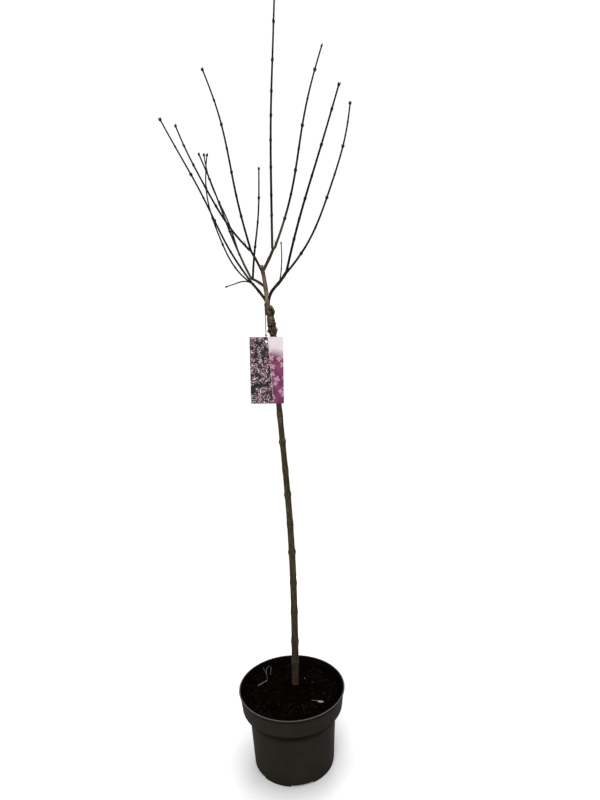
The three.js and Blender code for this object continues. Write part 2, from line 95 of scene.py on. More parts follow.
BOUGH = dict(swell=0.45, knuckle=0.5)
BOUGHS = dict(
    bough_left_low=dict(
        foot=(-17.5, -1.6, 1013), tip=(-45, -8, 1051), bow=-1, radii=(2.9, 2.5), nodes=(26,)),
    bough_left_mid=dict(
        foot=(-18.5, 0, 1041), tip=(-46, 10, 1060), bow=-1.6, radii=(2.8, 2.4), nodes=(16,)),
    bough_right=dict(
        foot=(-15.3, -1, 1008), tip=(24, -8, 1070),
        bow=-4.9, crook=-2.4, radii=(3.4, 2.8), nodes=(46, 66)),
    bough_top_right=dict(
        foot=(-23, 0, 1073), tip=(0.8, 0.2, 1117.6), bow=0.8, radii=(3.2, 2.8), nodes=(27,)),
    bough_top_left=dict(
        foot=(-23, 0, 1070), tip=(-46, 2, 1116), bow=-0.6, radii=(2.6, 2.2), nodes=(31,)),
)

SHOOT = dict(radii=(2.2, 1.5), swell=0.4)
SHOOTS = dict(
    shoot_centre=dict(
        foot=(-2.2, -0.8, 1116), tip=(23, -15, 1582), bow=-5.3, crook=-0.3, curl=0.6,
        radii=(2.45, 1.55), nodes=(63, 100, 151, 200, 243, 286, 339, 403)),
    shoot_top_right=dict(
        foot=(2.6, 0.8, 1116.6), tip=(107.4, 40, 1494.5), bow=2.2, crook=5.6, curl=0.3,
        radii=(2.5, 1.5), nodes=(61, 110, 156, 198, 241, 293, 348)),
    shoot_right_inner=dict(
        foot=(23.6, -9.4, 1069), tip=(131, -60, 1391), bow=-3.2, crook=-1.4,
        radii=(2.5, 1.65), nodes=(64, 104, 141, 183, 239, 301)),
    shoot_right_outer=dict(
        foot=(24.4, -6.6, 1069), tip=(160.4, 45, 1390.4), bow=24.6, crook=1.8, curl=1.7,
        radii=(2.3, 1.55), nodes=(48, 108, 170, 219, 275, 323)),
    shoot_top_left_inner=dict(
        foot=(-44.9, 1.3, 1115.4), tip=(-121.6, 24.7, 1454), bow=-5.1, crook=4.3,
        nodes=(66, 108, 151, 196, 241, 288)),
    shoot_top_left_outer=dict(
        foot=(-47.1, 2.7, 1114.6), tip=(-187.8, 69.4, 1367), bow=13.5, crook=1.6, curl=0.8,
        first_turn=1.8, nodes=(72, 115, 160, 211, 255)),
    shoot_low_left=dict(
        foot=(-44.6, -7.2, 1050.6), tip=(-194.7, -44.4, 1347.3), bow=3.1, crook=3.2, curl=1.3,
        radii=(2.1, 1.35), first_turn=1.8, nodes=(72, 136, 182, 228, 284)),
    shoot_low_front=dict(
        foot=(-46, -9.4, 1050.6), tip=(-105.2, -108.4, 1267.8), bow=46.7, crook=-1.7, curl=2.8,
        radii=(1.6, 1.05), first_turn=1.8, bud_scale=0.85, nodes=(58, 110, 160, 212)),
    shoot_mid_back=dict(
        foot=(-46.4, 11.4, 1059.2), tip=(-150.2, 109, 1321), bow=2.9, crook=2.5,
        nodes=(60, 113, 178, 236)),
    shoot_mid_front=dict(
        foot=(-46.6, 8.6, 1059.2), tip=(-119, -44.5, 1283.4), bow=5.7, crook=-1.4, curl=3.1,
        radii=(1.6, 1.05), bud_scale=0.85, nodes=(52, 104, 156, 206)),
    shoot_mid_upright=dict(
        foot=(-44, 10, 1058.5), tip=(-26, 84.6, 1282.4), bow=9.3, crook=-4.2, curl=-1.4,
        first_turn=1.8, nodes=(70, 127, 179)),
)
BUD = Sizes(length=5.6, width=3.4, lean=math.radians(24))
TIP_BUD = Sizes(length=7.4, width=4.4, lean=math.radians(14))
LOW_BUDS = 0.5  # size of the buds at a shoot's foot, as a share of those at its tip

TWIG = dict(radii=(1.4, 1.05), swell=0.3)
TWIGS = dict(
    twig_right=dict(foot=(8.8, -4.8, 1050), tip=(15, 30, 1128), bow=12.8, nodes=(38,)),
    twig_left=dict(
        foot=(-43, -8, 1049.5), tip=(-92, -30, 1045), bow=5.7, crook=1.5, nodes=(30,)),
)

LABEL = Sizes(
    width=67, height=135, thickness=0.6, corner=2, hole_radius=2.6, hole_drop=8.5,
    hole=np.array((-21.9, -5.2, 935.8)), roll=math.radians(1.4),
)
TIE = Sizes(loop_at=32.5, loop_rise=1.95, radius=0.8, knot_rise=12)


# ---- numbers

def pick(full):
    return full


def unit(vector):
    vector = np.asarray(vector, float)
    return vector / np.linalg.norm(vector, axis=-1, keepdims=True)


def stack(*parts):
    """Points, or other rows, from arrays of their parts."""
    return np.stack(np.broadcast_arrays(*parts), -1)


def grid(rows, columns):
    return np.meshgrid(rows, columns, indexing="ij")


def polar(radius, angle, *rest):
    """Points at an angle and radius, with any further parts."""
    return stack(radius * np.cos(angle), radius * np.sin(angle), *rest)


def circle(sides):
    """Angles evenly round a circle."""
    return np.linspace(0, TAU, sides, endpoint=False)


def spokes(angle, first, second):
    """Directions round a line: the first at angle 0, the second a quarter turn on."""
    return first * np.cos(angle)[..., None] + second * np.sin(angle)[..., None]


def along_path(points):
    """How far along a path each of its points lies."""
    steps = np.linalg.norm(np.diff(points, axis=0), axis=1)
    return np.concatenate([[0], np.cumsum(steps)])


def read_path(distance, gone, points):
    """Points of a path at distances along it."""
    return stack(*(np.interp(distance, gone, part) for part in points.T))


def softened(path, times):
    """Takes the corners off a path, in place, and leaves its ends."""
    for _ in range(times):
        path[1:-1] = (path[:-2] + 2 * path[1:-1] + path[2:]) / 4
    return path


def bump(value, centre, width):
    return np.exp(-(((value - centre) / width) ** 2))


def smooth(value, low, high):
    t = np.clip((value - low) / (high - low), 0, 1)
    return t * t * (3 - 2 * t)


def turn_between(angle, other):
    """How far two angles lie apart, from 0 to pi."""
    return np.abs((angle - other + math.pi) % TAU - math.pi)


def cell_random(cells, seed):
    """A repeatable number from 0 to 1 for each whole-numbered cell, by mixing its bits."""
    x, y, z = (cells[..., i] & 0xFFFF for i in range(3))
    mixed = (x * 73856093) ^ (y * 19349663) ^ (z * 83492791) ^ (seed * 7919 + 13)
    mixed = (mixed ^ (mixed >> 13)) & 0xFFFFFFFF
    mixed = (mixed * 1274126177) & 0xFFFFFFFF
    mixed = mixed ^ (mixed >> 15)
    return (mixed & 0xFFFFFF) / 0xFFFFFF


def noise(points, seed=0):
    """Smooth noise from -1 to 1."""
    base = np.floor(points).astype(np.int64)
    part = points - base
    ease = part * part * (3 - 2 * part)
    total = np.zeros(points.shape[:-1])
    for corner in np.ndindex(2, 2, 2):
        weight = np.prod(np.where(corner, ease, 1 - ease), axis=-1)
        total += weight * cell_random(base + np.array(corner), seed)
    return 2 * total - 1


def rough(points, seed=0, octaves=3):
    """Noise at several scales, from the points' own scale down."""
    return sum(noise(points * 2 ** i, seed + i) / 2 ** i for i in range(octaves))


def cracks(points, seed):
    """Nearly 1 along thin, winding lines, and less between them."""
    return 1 - np.abs(noise(points, seed))


# ---- meshes

def grid_faces(rings, sides, wrap=True, flip=False, close=False):
    """Quads between neighbouring rings of points, and from the last to the first to close."""
    ring = np.arange(rings if close else rings - 1)[:, None] * sides
    side = np.arange(sides if wrap else sides - 1)[None]
    a, b = ring + side, ring + (side + 1) % sides
    quads = np.stack([a, a + sides, b + sides, b], -1).reshape(-1, 4) % (rings * sides)
    return quads[:, ::-1] if flip else quads


def fan_faces(hub, start, sides, flip=False):
    """Triangles from a hub point to a closed ring."""
    a = start + np.arange(sides)
    b = start + (np.arange(sides) + 1) % sides
    triangles = np.stack([np.full(sides, hub), a, b], -1)
    return triangles[:, ::-1] if flip else triangles


def finish_piece(piece, slot, *nodes):
    """The piece rides with the plant and hides the solids that it stands for. Its slot is not used.
    """
    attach(piece, "root")
    if nodes:
        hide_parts(*nodes)


class Pile:
    """Points and faces gathered for one mesh, in millimetres.

    grain holds coordinates that follow a limb, and paint holds three marks from 0 to 1:
    pale, dark and ruddy.
    """

    def __init__(self):
        self.points, self.grain, self.paint, self.faces, self.slots = [], [], [], [], []
        self.count = 0

    def add(self, points, groups, slot=0, grain=None, paint=None):
        points = np.reshape(points, (-1, 3))
        self.points.append(points)
        self.grain.append(points if grain is None else np.reshape(grain, (-1, 3)))
        self.paint.append(np.zeros_like(points) if paint is None else np.reshape(paint, (-1, 3)))
        for group in groups:
            self.faces += (group + self.count).tolist()
            self.slots += [slot] * len(group)
        self.count += len(points)

    def add_tube(self, rings, slot=0, grain=None, paint=None, flip=False):
        """A closed tube through rings of points, with a hub in the middle of each end."""
        count, sides = rings.shape[:2]
        grain = rings if grain is None else grain
        paint = np.zeros_like(rings) if paint is None else paint

        def with_hubs(rows):
            return np.concatenate([rows.reshape(-1, 3), [rows[0].mean(0), rows[-1].mean(0)]])

        last = count * sides
        groups = [
            grid_faces(count, sides, flip=flip),
            fan_faces(last, 0, sides, flip),
            fan_faces(last + 1, last - sides, sides, not flip),
        ]
        self.add(with_hubs(rings), groups, slot, with_hubs(grain), with_hubs(paint))

    def piece(self, name, *materials):
        mesh = bpy.data.meshes.new(name)
        mesh.from_pydata((np.concatenate(self.points) * MM).tolist(), [], self.faces)
        mesh.polygons.foreach_set("material_index", self.slots)
        mesh.polygons.foreach_set("use_smooth", [True] * len(self.faces))
        grain = mesh.attributes.new("grain", "FLOAT_VECTOR", "POINT")
        grain.data.foreach_set("vector", np.concatenate(self.grain).ravel())
        paint = mesh.attributes.new("paint", "FLOAT_COLOR", "POINT")
        marks = np.clip(np.concatenate(self.paint), 0, 1)
        paint.data.foreach_set("color", np.insert(marks, 3, 1, axis=1).ravel())
        for material in materials:
            mesh.materials.append(material)
        piece = bpy.data.objects.new(name, mesh)
        bpy.context.collection.objects.link(piece)
        return piece

    def dress(self, name, slot, materials, *nodes):
        """Makes the mesh and finishes it as a piece of the plant."""
        piece = self.piece(name, *materials)
        finish_piece(piece, slot, *nodes)
        return piece


# ---- materials

def colour(tone):
    """A colour given as the 0 to 255 values seen on a screen."""
    parts = np.array(tone) / 255
    linear = np.where(parts <= 0.04045, parts / 12.92, ((parts + 0.055) / 1.055) ** 2.4)
    return (*linear.tolist(), 1.0)


class Surface:
    """A procedural material on one Principled shader. Its tones are as colour takes them."""

    def __init__(self, name, roughness, specular):
        self.material = bpy.data.materials.new(name)
        self.material.use_nodes = True
        self.tree = self.material.node_tree
        self.shader = self.tree.nodes["Principled BSDF"]
        self.put("Roughness", roughness)
        self.put("Specular IOR Level", specular)

    def feed(self, socket, value):
        if isinstance(value, bpy.types.NodeSocket):
            self.tree.links.new(value, socket)
        else:
            socket.default_value = value

    def put(self, name, value):
        self.feed(self.shader.inputs[name], value)

    def node(self, kind, *values, **settings):
        node = self.tree.nodes.new("ShaderNode" + kind)
        for key, value in settings.items():
            setattr(node, key, value)
        for socket, value in zip(node.inputs, values):
            self.feed(socket, value)
        return node

    def fill(self, node, **values):
        for name, value in values.items():
            self.feed(node.inputs[name], value)
        return node

    def place(self):
        return self.node("TexCoord").outputs["Object"]

    def attribute(self, name):
        return self.node("Attribute", attribute_name=name).outputs["Vector"]

    def split(self, vector):
        return self.node("SeparateXYZ", vector).outputs[:]

    def vector(self, operation, *values):
        node = self.node("VectorMath", *values, operation=operation)
        return node.outputs["Value" if operation in ("LENGTH", "DOT_PRODUCT") else "Vector"]

    def scaled(self, vector, scale):
        return self.vector("MULTIPLY", vector, scale)

    def math(self, operation, *values):
        return self.node("Math", *values, operation=operation).outputs[0]

    def times(self, first, second):
        return self.math("MULTIPLY", first, second)

    def plus(self, first, second):
        return self.math("ADD", first, second)

    def noise(self, vector, scale, detail=3.0, hardness=0.55):
        """Noise at one scale, or at a scale for each axis."""
        if isinstance(scale, tuple):
            vector, scale = self.scaled(vector, scale), 1.0
        node = self.node("TexNoise")
        self.fill(node, Vector=vector, Scale=scale, Detail=detail, Roughness=hardness)
        return node.outputs[0]

    def cells(self, vector, scale=1.0, dimensions="3D"):
        node = self.node("TexVoronoi", voronoi_dimensions=dimensions)
        return self.fill(node, Vector=vector, Scale=scale)

    def step(self, value, low, high, to_low=0.0, to_high=1.0):
        """The value eased from one range to another."""
        values = (value, low, high, to_low, to_high)
        return self.node("MapRange", *values, interpolation_type="SMOOTHSTEP").outputs[0]

    def mix(self, factor, first, second):
        node = self.node("Mix", data_type="RGBA")
        for socket, value in ((0, factor), (6, first), (7, second)):
            self.feed(node.inputs[socket], colour(value) if isinstance(value, tuple) else value)
        return node.outputs[2]

    def layer(self, tone, over, value, *ranges):
        """The tone with another over it, as much as the value's step says."""
        return self.mix(self.step(value, *ranges), tone, over)

    def bumps(self, height, distance, strength, under=None):
        node = self.fill(self.node("Bump"), Strength=strength, Distance=distance, Height=height)
        if under is not None:
            self.feed(node.inputs["Normal"], under)
        return node.outputs[0]

    def finish(self, base, normal=None, roughness=None):
        for name, value in (("Base Color", base), ("Normal", normal), ("Roughness", roughness)):
            if value is not None:
                self.put(name, value)
        return self.material


def bark(name, base, dark, light, ruddy, pale, pores, roughness=0.78, streaks=0.6, relief=0.5):
    """Bark with lengthwise streaks, broad blotches and pale pores, and the mesh's own marks."""
    look = Surface(name, roughness, 0.09)
    grain = look.attribute("grain")
    pale_mark, dark_mark, ruddy_mark = look.split(look.attribute("paint"))
    streak = look.noise(grain, (0.9, 0.9, 0.1), 4.0, 0.6)
    blotch = look.noise(grain, (0.16, 0.16, 0.045))
    fine = look.noise(grain, 1.6, 4.0, 0.65)
    cell = look.cells(look.scaled(grain, (0.42, 0.42, 0.3)))
    pore = look.step(cell.outputs["Distance"], 0.1, 0.2, pores, 0.0)

    tone = look.layer(dark, base, streak, 0.34, 0.62)
    tone = look.layer(tone, light, blotch, 0.5, 0.72)
    tone = look.layer(tone, light, fine, 0.55, 0.8, 0.0, streaks)
    for mark, over in ((ruddy_mark, ruddy), (dark_mark, dark), (pore, pale), (pale_mark, pale)):
        tone = look.mix(mark, tone, over)

    normal = None
    for height, distance in ((streak, 0.0006), (fine, 0.0003), (pore, 0.0002)):
        normal = look.bumps(height, distance, relief, normal)
    return look.finish(tone, normal, look.step(fine, 0.3, 0.7, roughness - 0.1, roughness + 0.1))


def pot_plastic():
    """Satin, dark plastic: a fine moulded grain, scuffs, dust and a painted highlight on what faces
    up, and painted shade inside the pot, under the lip and under the step."""
    look = Surface("pot_plastic", 0.72, 0.05)
    place = look.place()
    x, y, height = look.split(place)
    normal = look.node("NewGeometry").outputs["Normal"]
    up = look.split(normal)[2]
    grit = look.noise(place, 1400.0, 3.0, 0.7)
    cloud = look.noise(place, 28.0, 4.0, 0.6)
    around = look.times(look.math("ARCTAN2", y, x), 9.0)
    flow = look.node("CombineXYZ", around, height, 0.0).outputs[0]
    streak = look.noise(flow, 5.0, 4.0, 0.6)
    speck = look.cells(place, 330.0).outputs["Distance"]

    tone = look.layer((29, 26, 20), (37, 33, 26), cloud, 0.35, 0.7)
    tone = look.layer(tone, (45, 41, 33), streak, 0.5, 0.75, 0.0, 0.3)
    tone = look.layer(tone, (49, 45, 37), grit, 0.5, 0.75, 0.0, 0.3)
    tone = look.layer(tone, (64, 59, 49), speck, 0.05, 0.11, 0.3, 0.0)
    # Dust and a painted highlight on what faces up, mostly on the lip.
    tone = look.layer(tone, (112, 110, 107), up, 0.35, 0.95, 0.0, 0.5)
    # Painted shade: the walls inside the pot, which face inward, are darkened nearly to black.
    outward = look.vector("NORMALIZE", look.scaled(place, (1.0, 1.0, 0.0)))
    facing = look.vector("DOT_PRODUCT", normal, outward)
    inside = look.times(
        look.step(facing, -0.5, 0.1, 1.0, 0.0), look.step(up, 0.3, 0.6, 1.0, 0.0))
    tone = look.mix(inside, tone, (9, 8, 7))
    # The shade ends at the top of each overhang, and fades out from deep to low under it.
    lip = (POT.height - POT.lip_drop) * MM
    for low, deep, top, share in (
        (STEP_LOW * MM - 0.023, STEP_LOW * MM - 0.009, STEP_TOP * MM, 1.0),
        (lip - 0.006, lip - 0.004, lip, 0.8),
    ):
        below = look.step(height, low, deep, 0.0, share)
        shade = look.times(below, look.step(height, top - 0.001, top, 1.0, 0.0))
        tone = look.mix(shade, tone, (8, 7, 5))
    relief = look.bumps(streak, 0.0002, 0.25, look.bumps(grit, 0.0002, 0.45))
    return look.finish(tone, relief, look.step(cloud, 0.3, 0.7, 0.62, 0.8))


def compost(name, base, light, ruddy):
    """Damp, dark, crumbly potting soil."""
    look = Surface(name, 0.95, 0.0)
    place = look.place()
    crumb = look.noise(place, 520.0, 5.0, 0.7)
    patch = look.noise(place, 38.0, 4.0, 0.65)
    tone = look.layer(base, light, crumb, 0.4, 0.7)
    tone = look.layer(tone, ruddy, patch, 0.52, 0.74, 0.0, 0.6)
    return look.finish(tone, look.bumps(crumb, 0.0016, 0.8))


def plain_fibre(name, base, light, scale=700.0):
    """Dry fibre, wood or stone with a fine mottle."""
    look = Surface(name, 0.85, 0.06)
    mottle = look.noise(look.place(), scale, 4.0, 0.65)
    return look.finish(look.mix(mottle, base, light), look.bumps(mottle, 0.0003, 0.5))


def bud_scale(name, base, edge):
    """A bud's scale: waxy and dark, finely ribbed along its length."""
    look = Surface(name, 0.6, 0.2)
    rib = look.noise(look.attribute("grain"), (3.0, 3.0, 0.5))
    rim_mark = look.split(look.attribute("paint"))[0]
    tone = look.layer(base, edge, rib, 0.3, 0.7)
    tone = look.mix(look.times(rim_mark, 0.6), tone, edge)
    return look.finish(tone, look.bumps(rib, 0.0002, 0.4))


def twine_fibre(name, base, light):
    """Paper twine, streaked along its plies."""
    look = Surface(name, 0.9, 0.15)
    thread = look.noise(look.attribute("grain"), (3.0, 3.0, 0.8), 4.0, 0.6)
    tone = look.layer(base, light, thread, 0.3, 0.7)
    return look.finish(tone, look.bumps(thread, 0.0003, 0.6))


# ---- limbs

LINE_STEPS = 1200  # straight steps in a limb's middle line
NODE_LENGTH = 1.1  # how long a node's swelling is, as a share of the radius at the foot
LEAST_LEFT = 0.02  # of a rounded end's squared radius, so that no ring closes to a point


class Limb:
    """A round limb on a line that is bowed and crooked in the upright plane of its two ends."""

    def __init__(self, foot, tip, radii=(1, 1), bow=0, crook=0, curl=0, flare=0, flare_length=1,
                 nodes=(), swell=0, knuckle=0, first_turn=0.2, bud_scale=1):
        self.radii, self.flare, self.flare_length = radii, flare, flare_length
        self.nodes, self.swell, self.knuckle = nodes, swell, knuckle
        self.first_turn, self.bud_scale = first_turn, bud_scale
        foot = np.array(foot, float)
        chord = np.array(tip, float) - foot
        along = unit(chord)
        level = unit(chord * (1, 1, 0))
        side = unit(level - along * level.dot(along))
        self.across = np.cross(side, along)
        t = np.linspace(0, 1, LINE_STEPS + 1)
        sway = bow * 4 * t * (1 - t) + crook * np.sin(TAU * t) + curl * np.sin(1.5 * TAU * t)
        self.path = foot + np.outer(t, chord) + np.outer(sway, side)
        self.gone = along_path(self.path)
        self.heading = unit(np.gradient(self.path, self.gone, axis=0))
        self.length = self.gone[-1]

    def at(self, distance):
        """Place, along and out at distances from the foot, straight on past either end."""
        distance = np.asarray(distance, float)
        inside = np.clip(distance, 0, self.length)
        place = read_path(inside, self.gone, self.path)
        along = unit(read_path(inside, self.gone, self.heading))
        place = place + along * (distance - inside)[..., None]
        return place, along, np.cross(along, self.across)

    def radius(self, distance):
        t = np.clip(distance / self.length, 0, 1)
        wide, narrow = self.radii
        flare = self.flare * np.exp(-np.maximum(distance, 0) / self.flare_length)
        knuckle = self.knuckle * bump(distance, self.length - 1, narrow)
        swelling = self.swell * self.rings(distance, 0, wide * NODE_LENGTH)
        return wide + (narrow - wide) * t + flare + swelling + knuckle

    def rings(self, distance, below, width):
        """1 in a ring a little below each node, and 0 away from them."""
        return sum(bump(distance, node - below, width) for node in self.nodes)

    def turn_toward(self, direction, distance):
        """The angle about the limb at which its bark faces a direction."""
        _, _, out = self.at(distance)
        return math.atan2(np.dot(direction, self.across), np.dot(direction, out))

    def outward(self, distance, turn):
        _, _, out = self.at(distance)
        return out * math.cos(turn) + self.across * math.sin(turn)

    def pattern_shift(self):
        """A shift along the limb that gives each limb its own part of the bark's pattern."""
        return 1000.0 * (abs(int(round(self.path[0].dot((3.0, 7.0, 1.0))))) % 97)


def add_limb(pile, limb, distances, sides, relief, paint=None, ends=(0, 0), top=None):
    """Adds a limb's bark. relief and paint take distance, angle and the bark's own coordinates:
    relief adds to the radius, and paint gives the marks. ends holds how deep the lower and the
    upper end are rounded off, the upper one from top down."""
    angle = circle(sides)[None]
    distance = np.asarray(distances, float)[:, None] + np.zeros_like(angle)
    plain = limb.radius(distance)
    trip = polar(plain, angle, distance)
    left = np.ones_like(distance)
    for gap, depth in zip((distance - distances[0], (top or limb.length) - distance), ends):
        if depth:
            left = left * np.sqrt(np.clip(1 - (1 - np.clip(gap / depth, 0, 1)) ** 2, LEAST_LEFT, 1))
    radius = plain + (relief(distance, angle, trip) + plain * (left - 1))
    place, _, out = limb.at(distances)
    rings = place[:, None] + radius[..., None] * spokes(angle, out[:, None], limb.across)
    marks = None if paint is None else stack(*paint(distance, angle, trip))
    pile.add_tube(rings, 0, trip + (0, 0, limb.pattern_shift()), marks)


def make_limb(name, slot, node, material, *limb_parts, **ends):
    """One limb as a piece of its own. limb_parts and ends are those of add_limb."""
    pile = Pile()
    add_limb(pile, *limb_parts, **ends)
    pile.dress(name, slot, (material,), node)


def close_rings(low, high, spacing, nodes=(), reach=3.0, fine=0.5):
    """Distances along a limb, closer together round its nodes."""
    near = [np.arange(node - reach, node + reach, fine) for node in nodes]
    every = np.concatenate([np.arange(low, high, spacing), *near, [low, high]])
    every = np.unique(np.round(every, 3))
    every = every[(every >= low) & (every <= high)]
    return every[np.concatenate([[True], np.diff(every) > 0.3 * fine])]


# ---- stem and graft

# In relief and paint, places and widths are in millimetres along the limb or radians about it,
# relief's amounts are in millimetres and paint's are shares. Noise is stretched along the limb.

# Distances from the stem's foot.
SIDEWAYS_NODES = (108, 246, 316, 448, 565)
SMALL_NODES = (108, 246)
STEM = Sizes(faces_at=300, top=792.5, dark_ring=53.5, ruddy_at=146, ruddy_foot=30, dark_below=420)
STEM_SINK = 3  # how far the stem reaches down into the soil's crumbs


def make_stem():
    """The clear stem: old nodes with a pair of knobs each, fissured grey-green bark."""
    limb = Limb(**TRUNK)
    facing = limb.turn_toward(LEFT, STEM.faces_at)
    pairs = []
    for node in limb.nodes:
        turn = facing if node in SIDEWAYS_NODES else facing + QUARTER
        for half in (0, math.pi):
            pairs.append((
                node + rng.uniform(-1.5, 1.5), turn + half + rng.uniform(-0.15, 0.15),
                rng.uniform(0.9, 1.5) * (0.55 if node in SMALL_NODES else 1),
            ))

    def knobs(distance, angle):
        swelling, ring = 0, 0
        for node, turn, height in pairs:
            apart = turn_between(angle, turn)
            swelling = swelling + height * bump(distance, node + 1.2, 3.2) * bump(apart, 0, 0.62)
            edge = bump(distance, node - 4.2 + 0.9 * apart, 0.8)
            ring = ring + 0.28 * edge * bump(apart, 0, 1.3)
        return swelling, ring

    def fissures(trip):
        return cracks(trip * (0.75, 0.75, 0.07), 3)

    def relief(distance, angle, trip):
        swelling, ring = knobs(distance, angle)
        depth = 0.5 + 0.5 * noise(trip * (0.2, 0.2, 0.02), 9)
        fissure = -0.32 * smooth(fissures(trip), 0.86, 1) * depth
        ripple = 0.14 * rough(trip * (0.6, 0.6, 0.16), 5)
        ripple = ripple + 0.22 * noise(trip * (0.12, 0.12, 0.05), 6)
        return swelling + ring + fissure + ripple + 0.1 * np.cos(5 * angle + distance / 90)

    def paint(distance, angle, trip):
        swelling, ring = knobs(distance, angle)
        dark = 0.75 * smooth(swelling, 0.5, 1.3) * (0.6 + 0.4 * noise(trip * 0.5, 4))
        dark = dark + 0.7 * smooth(fissures(trip), 0.9, 1)
        dark = dark + 0.9 * bump(distance, STEM.dark_ring, 1.1)
        dark = dark + 0.4 * smooth(STEM.dark_below - distance, 0, 300)
        ruddy = 0.7 * bump(distance, STEM.ruddy_at, 17)
        ruddy = ruddy + 1.1 * smooth(STEM.ruddy_foot - distance, 0, 18)
        ruddy = ruddy * (0.65 + 0.5 * noise(trip * (0.2, 0.2, 0.06), 12))
        return 0.5 * smooth(ring, 0.12, 0.3), dark, ruddy

    low = SOIL.level - TRUNK["foot"][2] - STEM_SINK
    distances = close_rings(low, STEM.top, pick(1.2), limb.nodes, 8, pick(0.8))
    material = bark(
        "stem_bark", (72, 65, 43), (34, 30, 19), (90, 82, 58), (92, 54, 38), (120, 110, 84), 0.3)
    make_limb("stem", "stem_bark", "trunk", material, limb, distances, pick(84), relief, paint)


# Knobs and dents on the graft: height, side they face, how high, how long, how wide in radians.
GRAFT_KNOBS = (
    (957, LEFT, 2.6, 2.6, 0.45), (958.5, RIGHT, 1.2, 4.5, 0.6), (968, RIGHT, 1.1, 2.6, 0.4),
    (981, FRONT, 1.3, 4.2, 0.55), (994, RIGHT, 1.4, 4.5, 0.6), (966, FRONT, -0.9, 2.0, 1.0),
    (975, BACK, 1.6, 5.0, 0.7), (963, BACK, 1.2, 3.2, 0.5), (989, FRONT, -0.7, 3.0, 0.5),
    (988, BACK, -0.8, 3.0, 0.6), (952, FRONT, 0.8, 2.4, 0.5), (999, BACK, 1.0, 3.0, 0.6),
)
GRAFT_START = 2.5
CREASE_SPACING = 6.4


def make_graft():
    """The swollen graft: corky lumps, creases round it, and the stock's sloping old cut."""
    limb = Limb(**UNION)
    base = UNION["foot"][2]
    limb.radius = lambda distance: np.interp(distance, *zip(*UNION_GIRTHS))
    knobs = [(z - base, limb.turn_toward(side, z - base), *size) for z, side, *size in GRAFT_KNOBS]

    def relief(distance, angle, trip):
        lumps = sum(
            high * bump(distance, at, long) * bump(turn_between(angle, turn), 0, wide)
            for at, turn, high, long, wide in knobs
        )
        cork = 0.7 * rough(trip * (0.32, 0.32, 0.3), 21, 4)
        wave = distance + 0.9 * np.sin(2 * angle + 1) + 0.6 * np.sin(3 * angle)
        crease = -0.8 * smooth(np.cos(wave * TAU / CREASE_SPACING), 0.72, 1)
        return lumps + cork + crease * smooth(noise(trip * 0.13, 8), -0.3, 0.4)

    def paint(distance, angle, trip):
        lumps = relief(distance, angle, trip)
        patch = noise(trip * (0.22, 0.22, 0.2), 30)
        speck = rough(trip * 0.9, 31, 2)
        cut = smooth(distance, limb.length - 9, limb.length - 5)
        pale = 0.1 * cut + 0.7 * smooth(speck, 0.5, 0.9) + 0.35 * smooth(lumps, 1.0, 2.2)
        dark = 1.1 * smooth(-lumps, -0.1, 0.5) + 0.6 * smooth(patch, 0.1, 0.5)
        return pale, dark * (1 - 0.6 * cut), 0.6 * smooth(-patch, 0.15, 0.5)

    distances = np.arange(GRAFT_START, limb.length + 0.3, pick(0.45))
    material = bark(
        "graft_bark", (76, 66, 46), (17, 12, 8), (124, 110, 82), (88, 56, 33), (176, 162, 128),
        0.3, roughness=0.85)
    make_limb(
        "graft", "graft_bark", "graft_union", material, limb, distances, pick(110), relief,
        paint, ends=(0, 5), top=distances[-1])


SCION_MARKS = Sizes(pale_at=40, dark_below=31, ruddy_at=62, cut_at=94)


def make_scion():
    """The scion's short stem, dark below, tan and ruddy above, with a cut stub at its top."""
    limb, marks = Limb(**SCION), SCION_MARKS
    facing = limb.turn_toward(LEFT, marks.pale_at)

    def relief(distance, angle, trip):
        collar = 0.35 * limb.rings(distance, 2.5, 0.8)
        crack = -0.16 * smooth(cracks(trip * (0.9, 0.9, 0.1), 41), 0.9, 1)
        return collar + crack + 0.12 * rough(trip * (0.7, 0.7, 0.25), 42)

    def paint(distance, angle, trip):
        patch = noise(trip * (0.35, 0.35, 0.08), 43)
        left = bump(turn_between(angle, facing), 0, 0.9)
        pale = 0.45 * bump(distance, marks.pale_at, 9) * (0.7 + 0.5 * patch)
        pale = pale + 0.35 * smooth(distance, marks.cut_at, marks.cut_at + 2)
        dark = (0.55 + 0.45 * left) * smooth(marks.dark_below - distance, 0, 10)
        dark = dark + 0.5 * smooth(patch, 0.2, 0.55)
        dark = dark + 0.7 * left * smooth(distance, 30, 38) + 0.6 * smooth(distance, 78, 88)
        return pale, dark, 0.65 * bump(distance, marks.ruddy_at, 20) * (0.75 + 0.4 * patch)

    distances = close_rings(0, limb.length, pick(0.6), (limb.length - 1,), 1.2, 0.25)
    material = bark(
        "scion_bark", (122, 104, 80), (40, 33, 23), (152, 132, 106), (124, 92, 70),
        (184, 164, 138), 0.35)
    make_limb(
        "scion", "scion_bark", "scion_stem", material, limb, distances, pick(56), relief,
        paint, ends=(3, 0.7))


# Each bough's base and dark tones.
BOUGH_TONES = dict(
    bough_left_low=((24, 20, 15), (13, 10, 8)), bough_left_mid=((56, 50, 34), (26, 22, 15)),
    bough_right=((38, 34, 26), (20, 17, 12)), bough_top_right=((66, 58, 39), (33, 29, 19)),
    bough_top_left=((34, 29, 22), (19, 15, 11)),
)


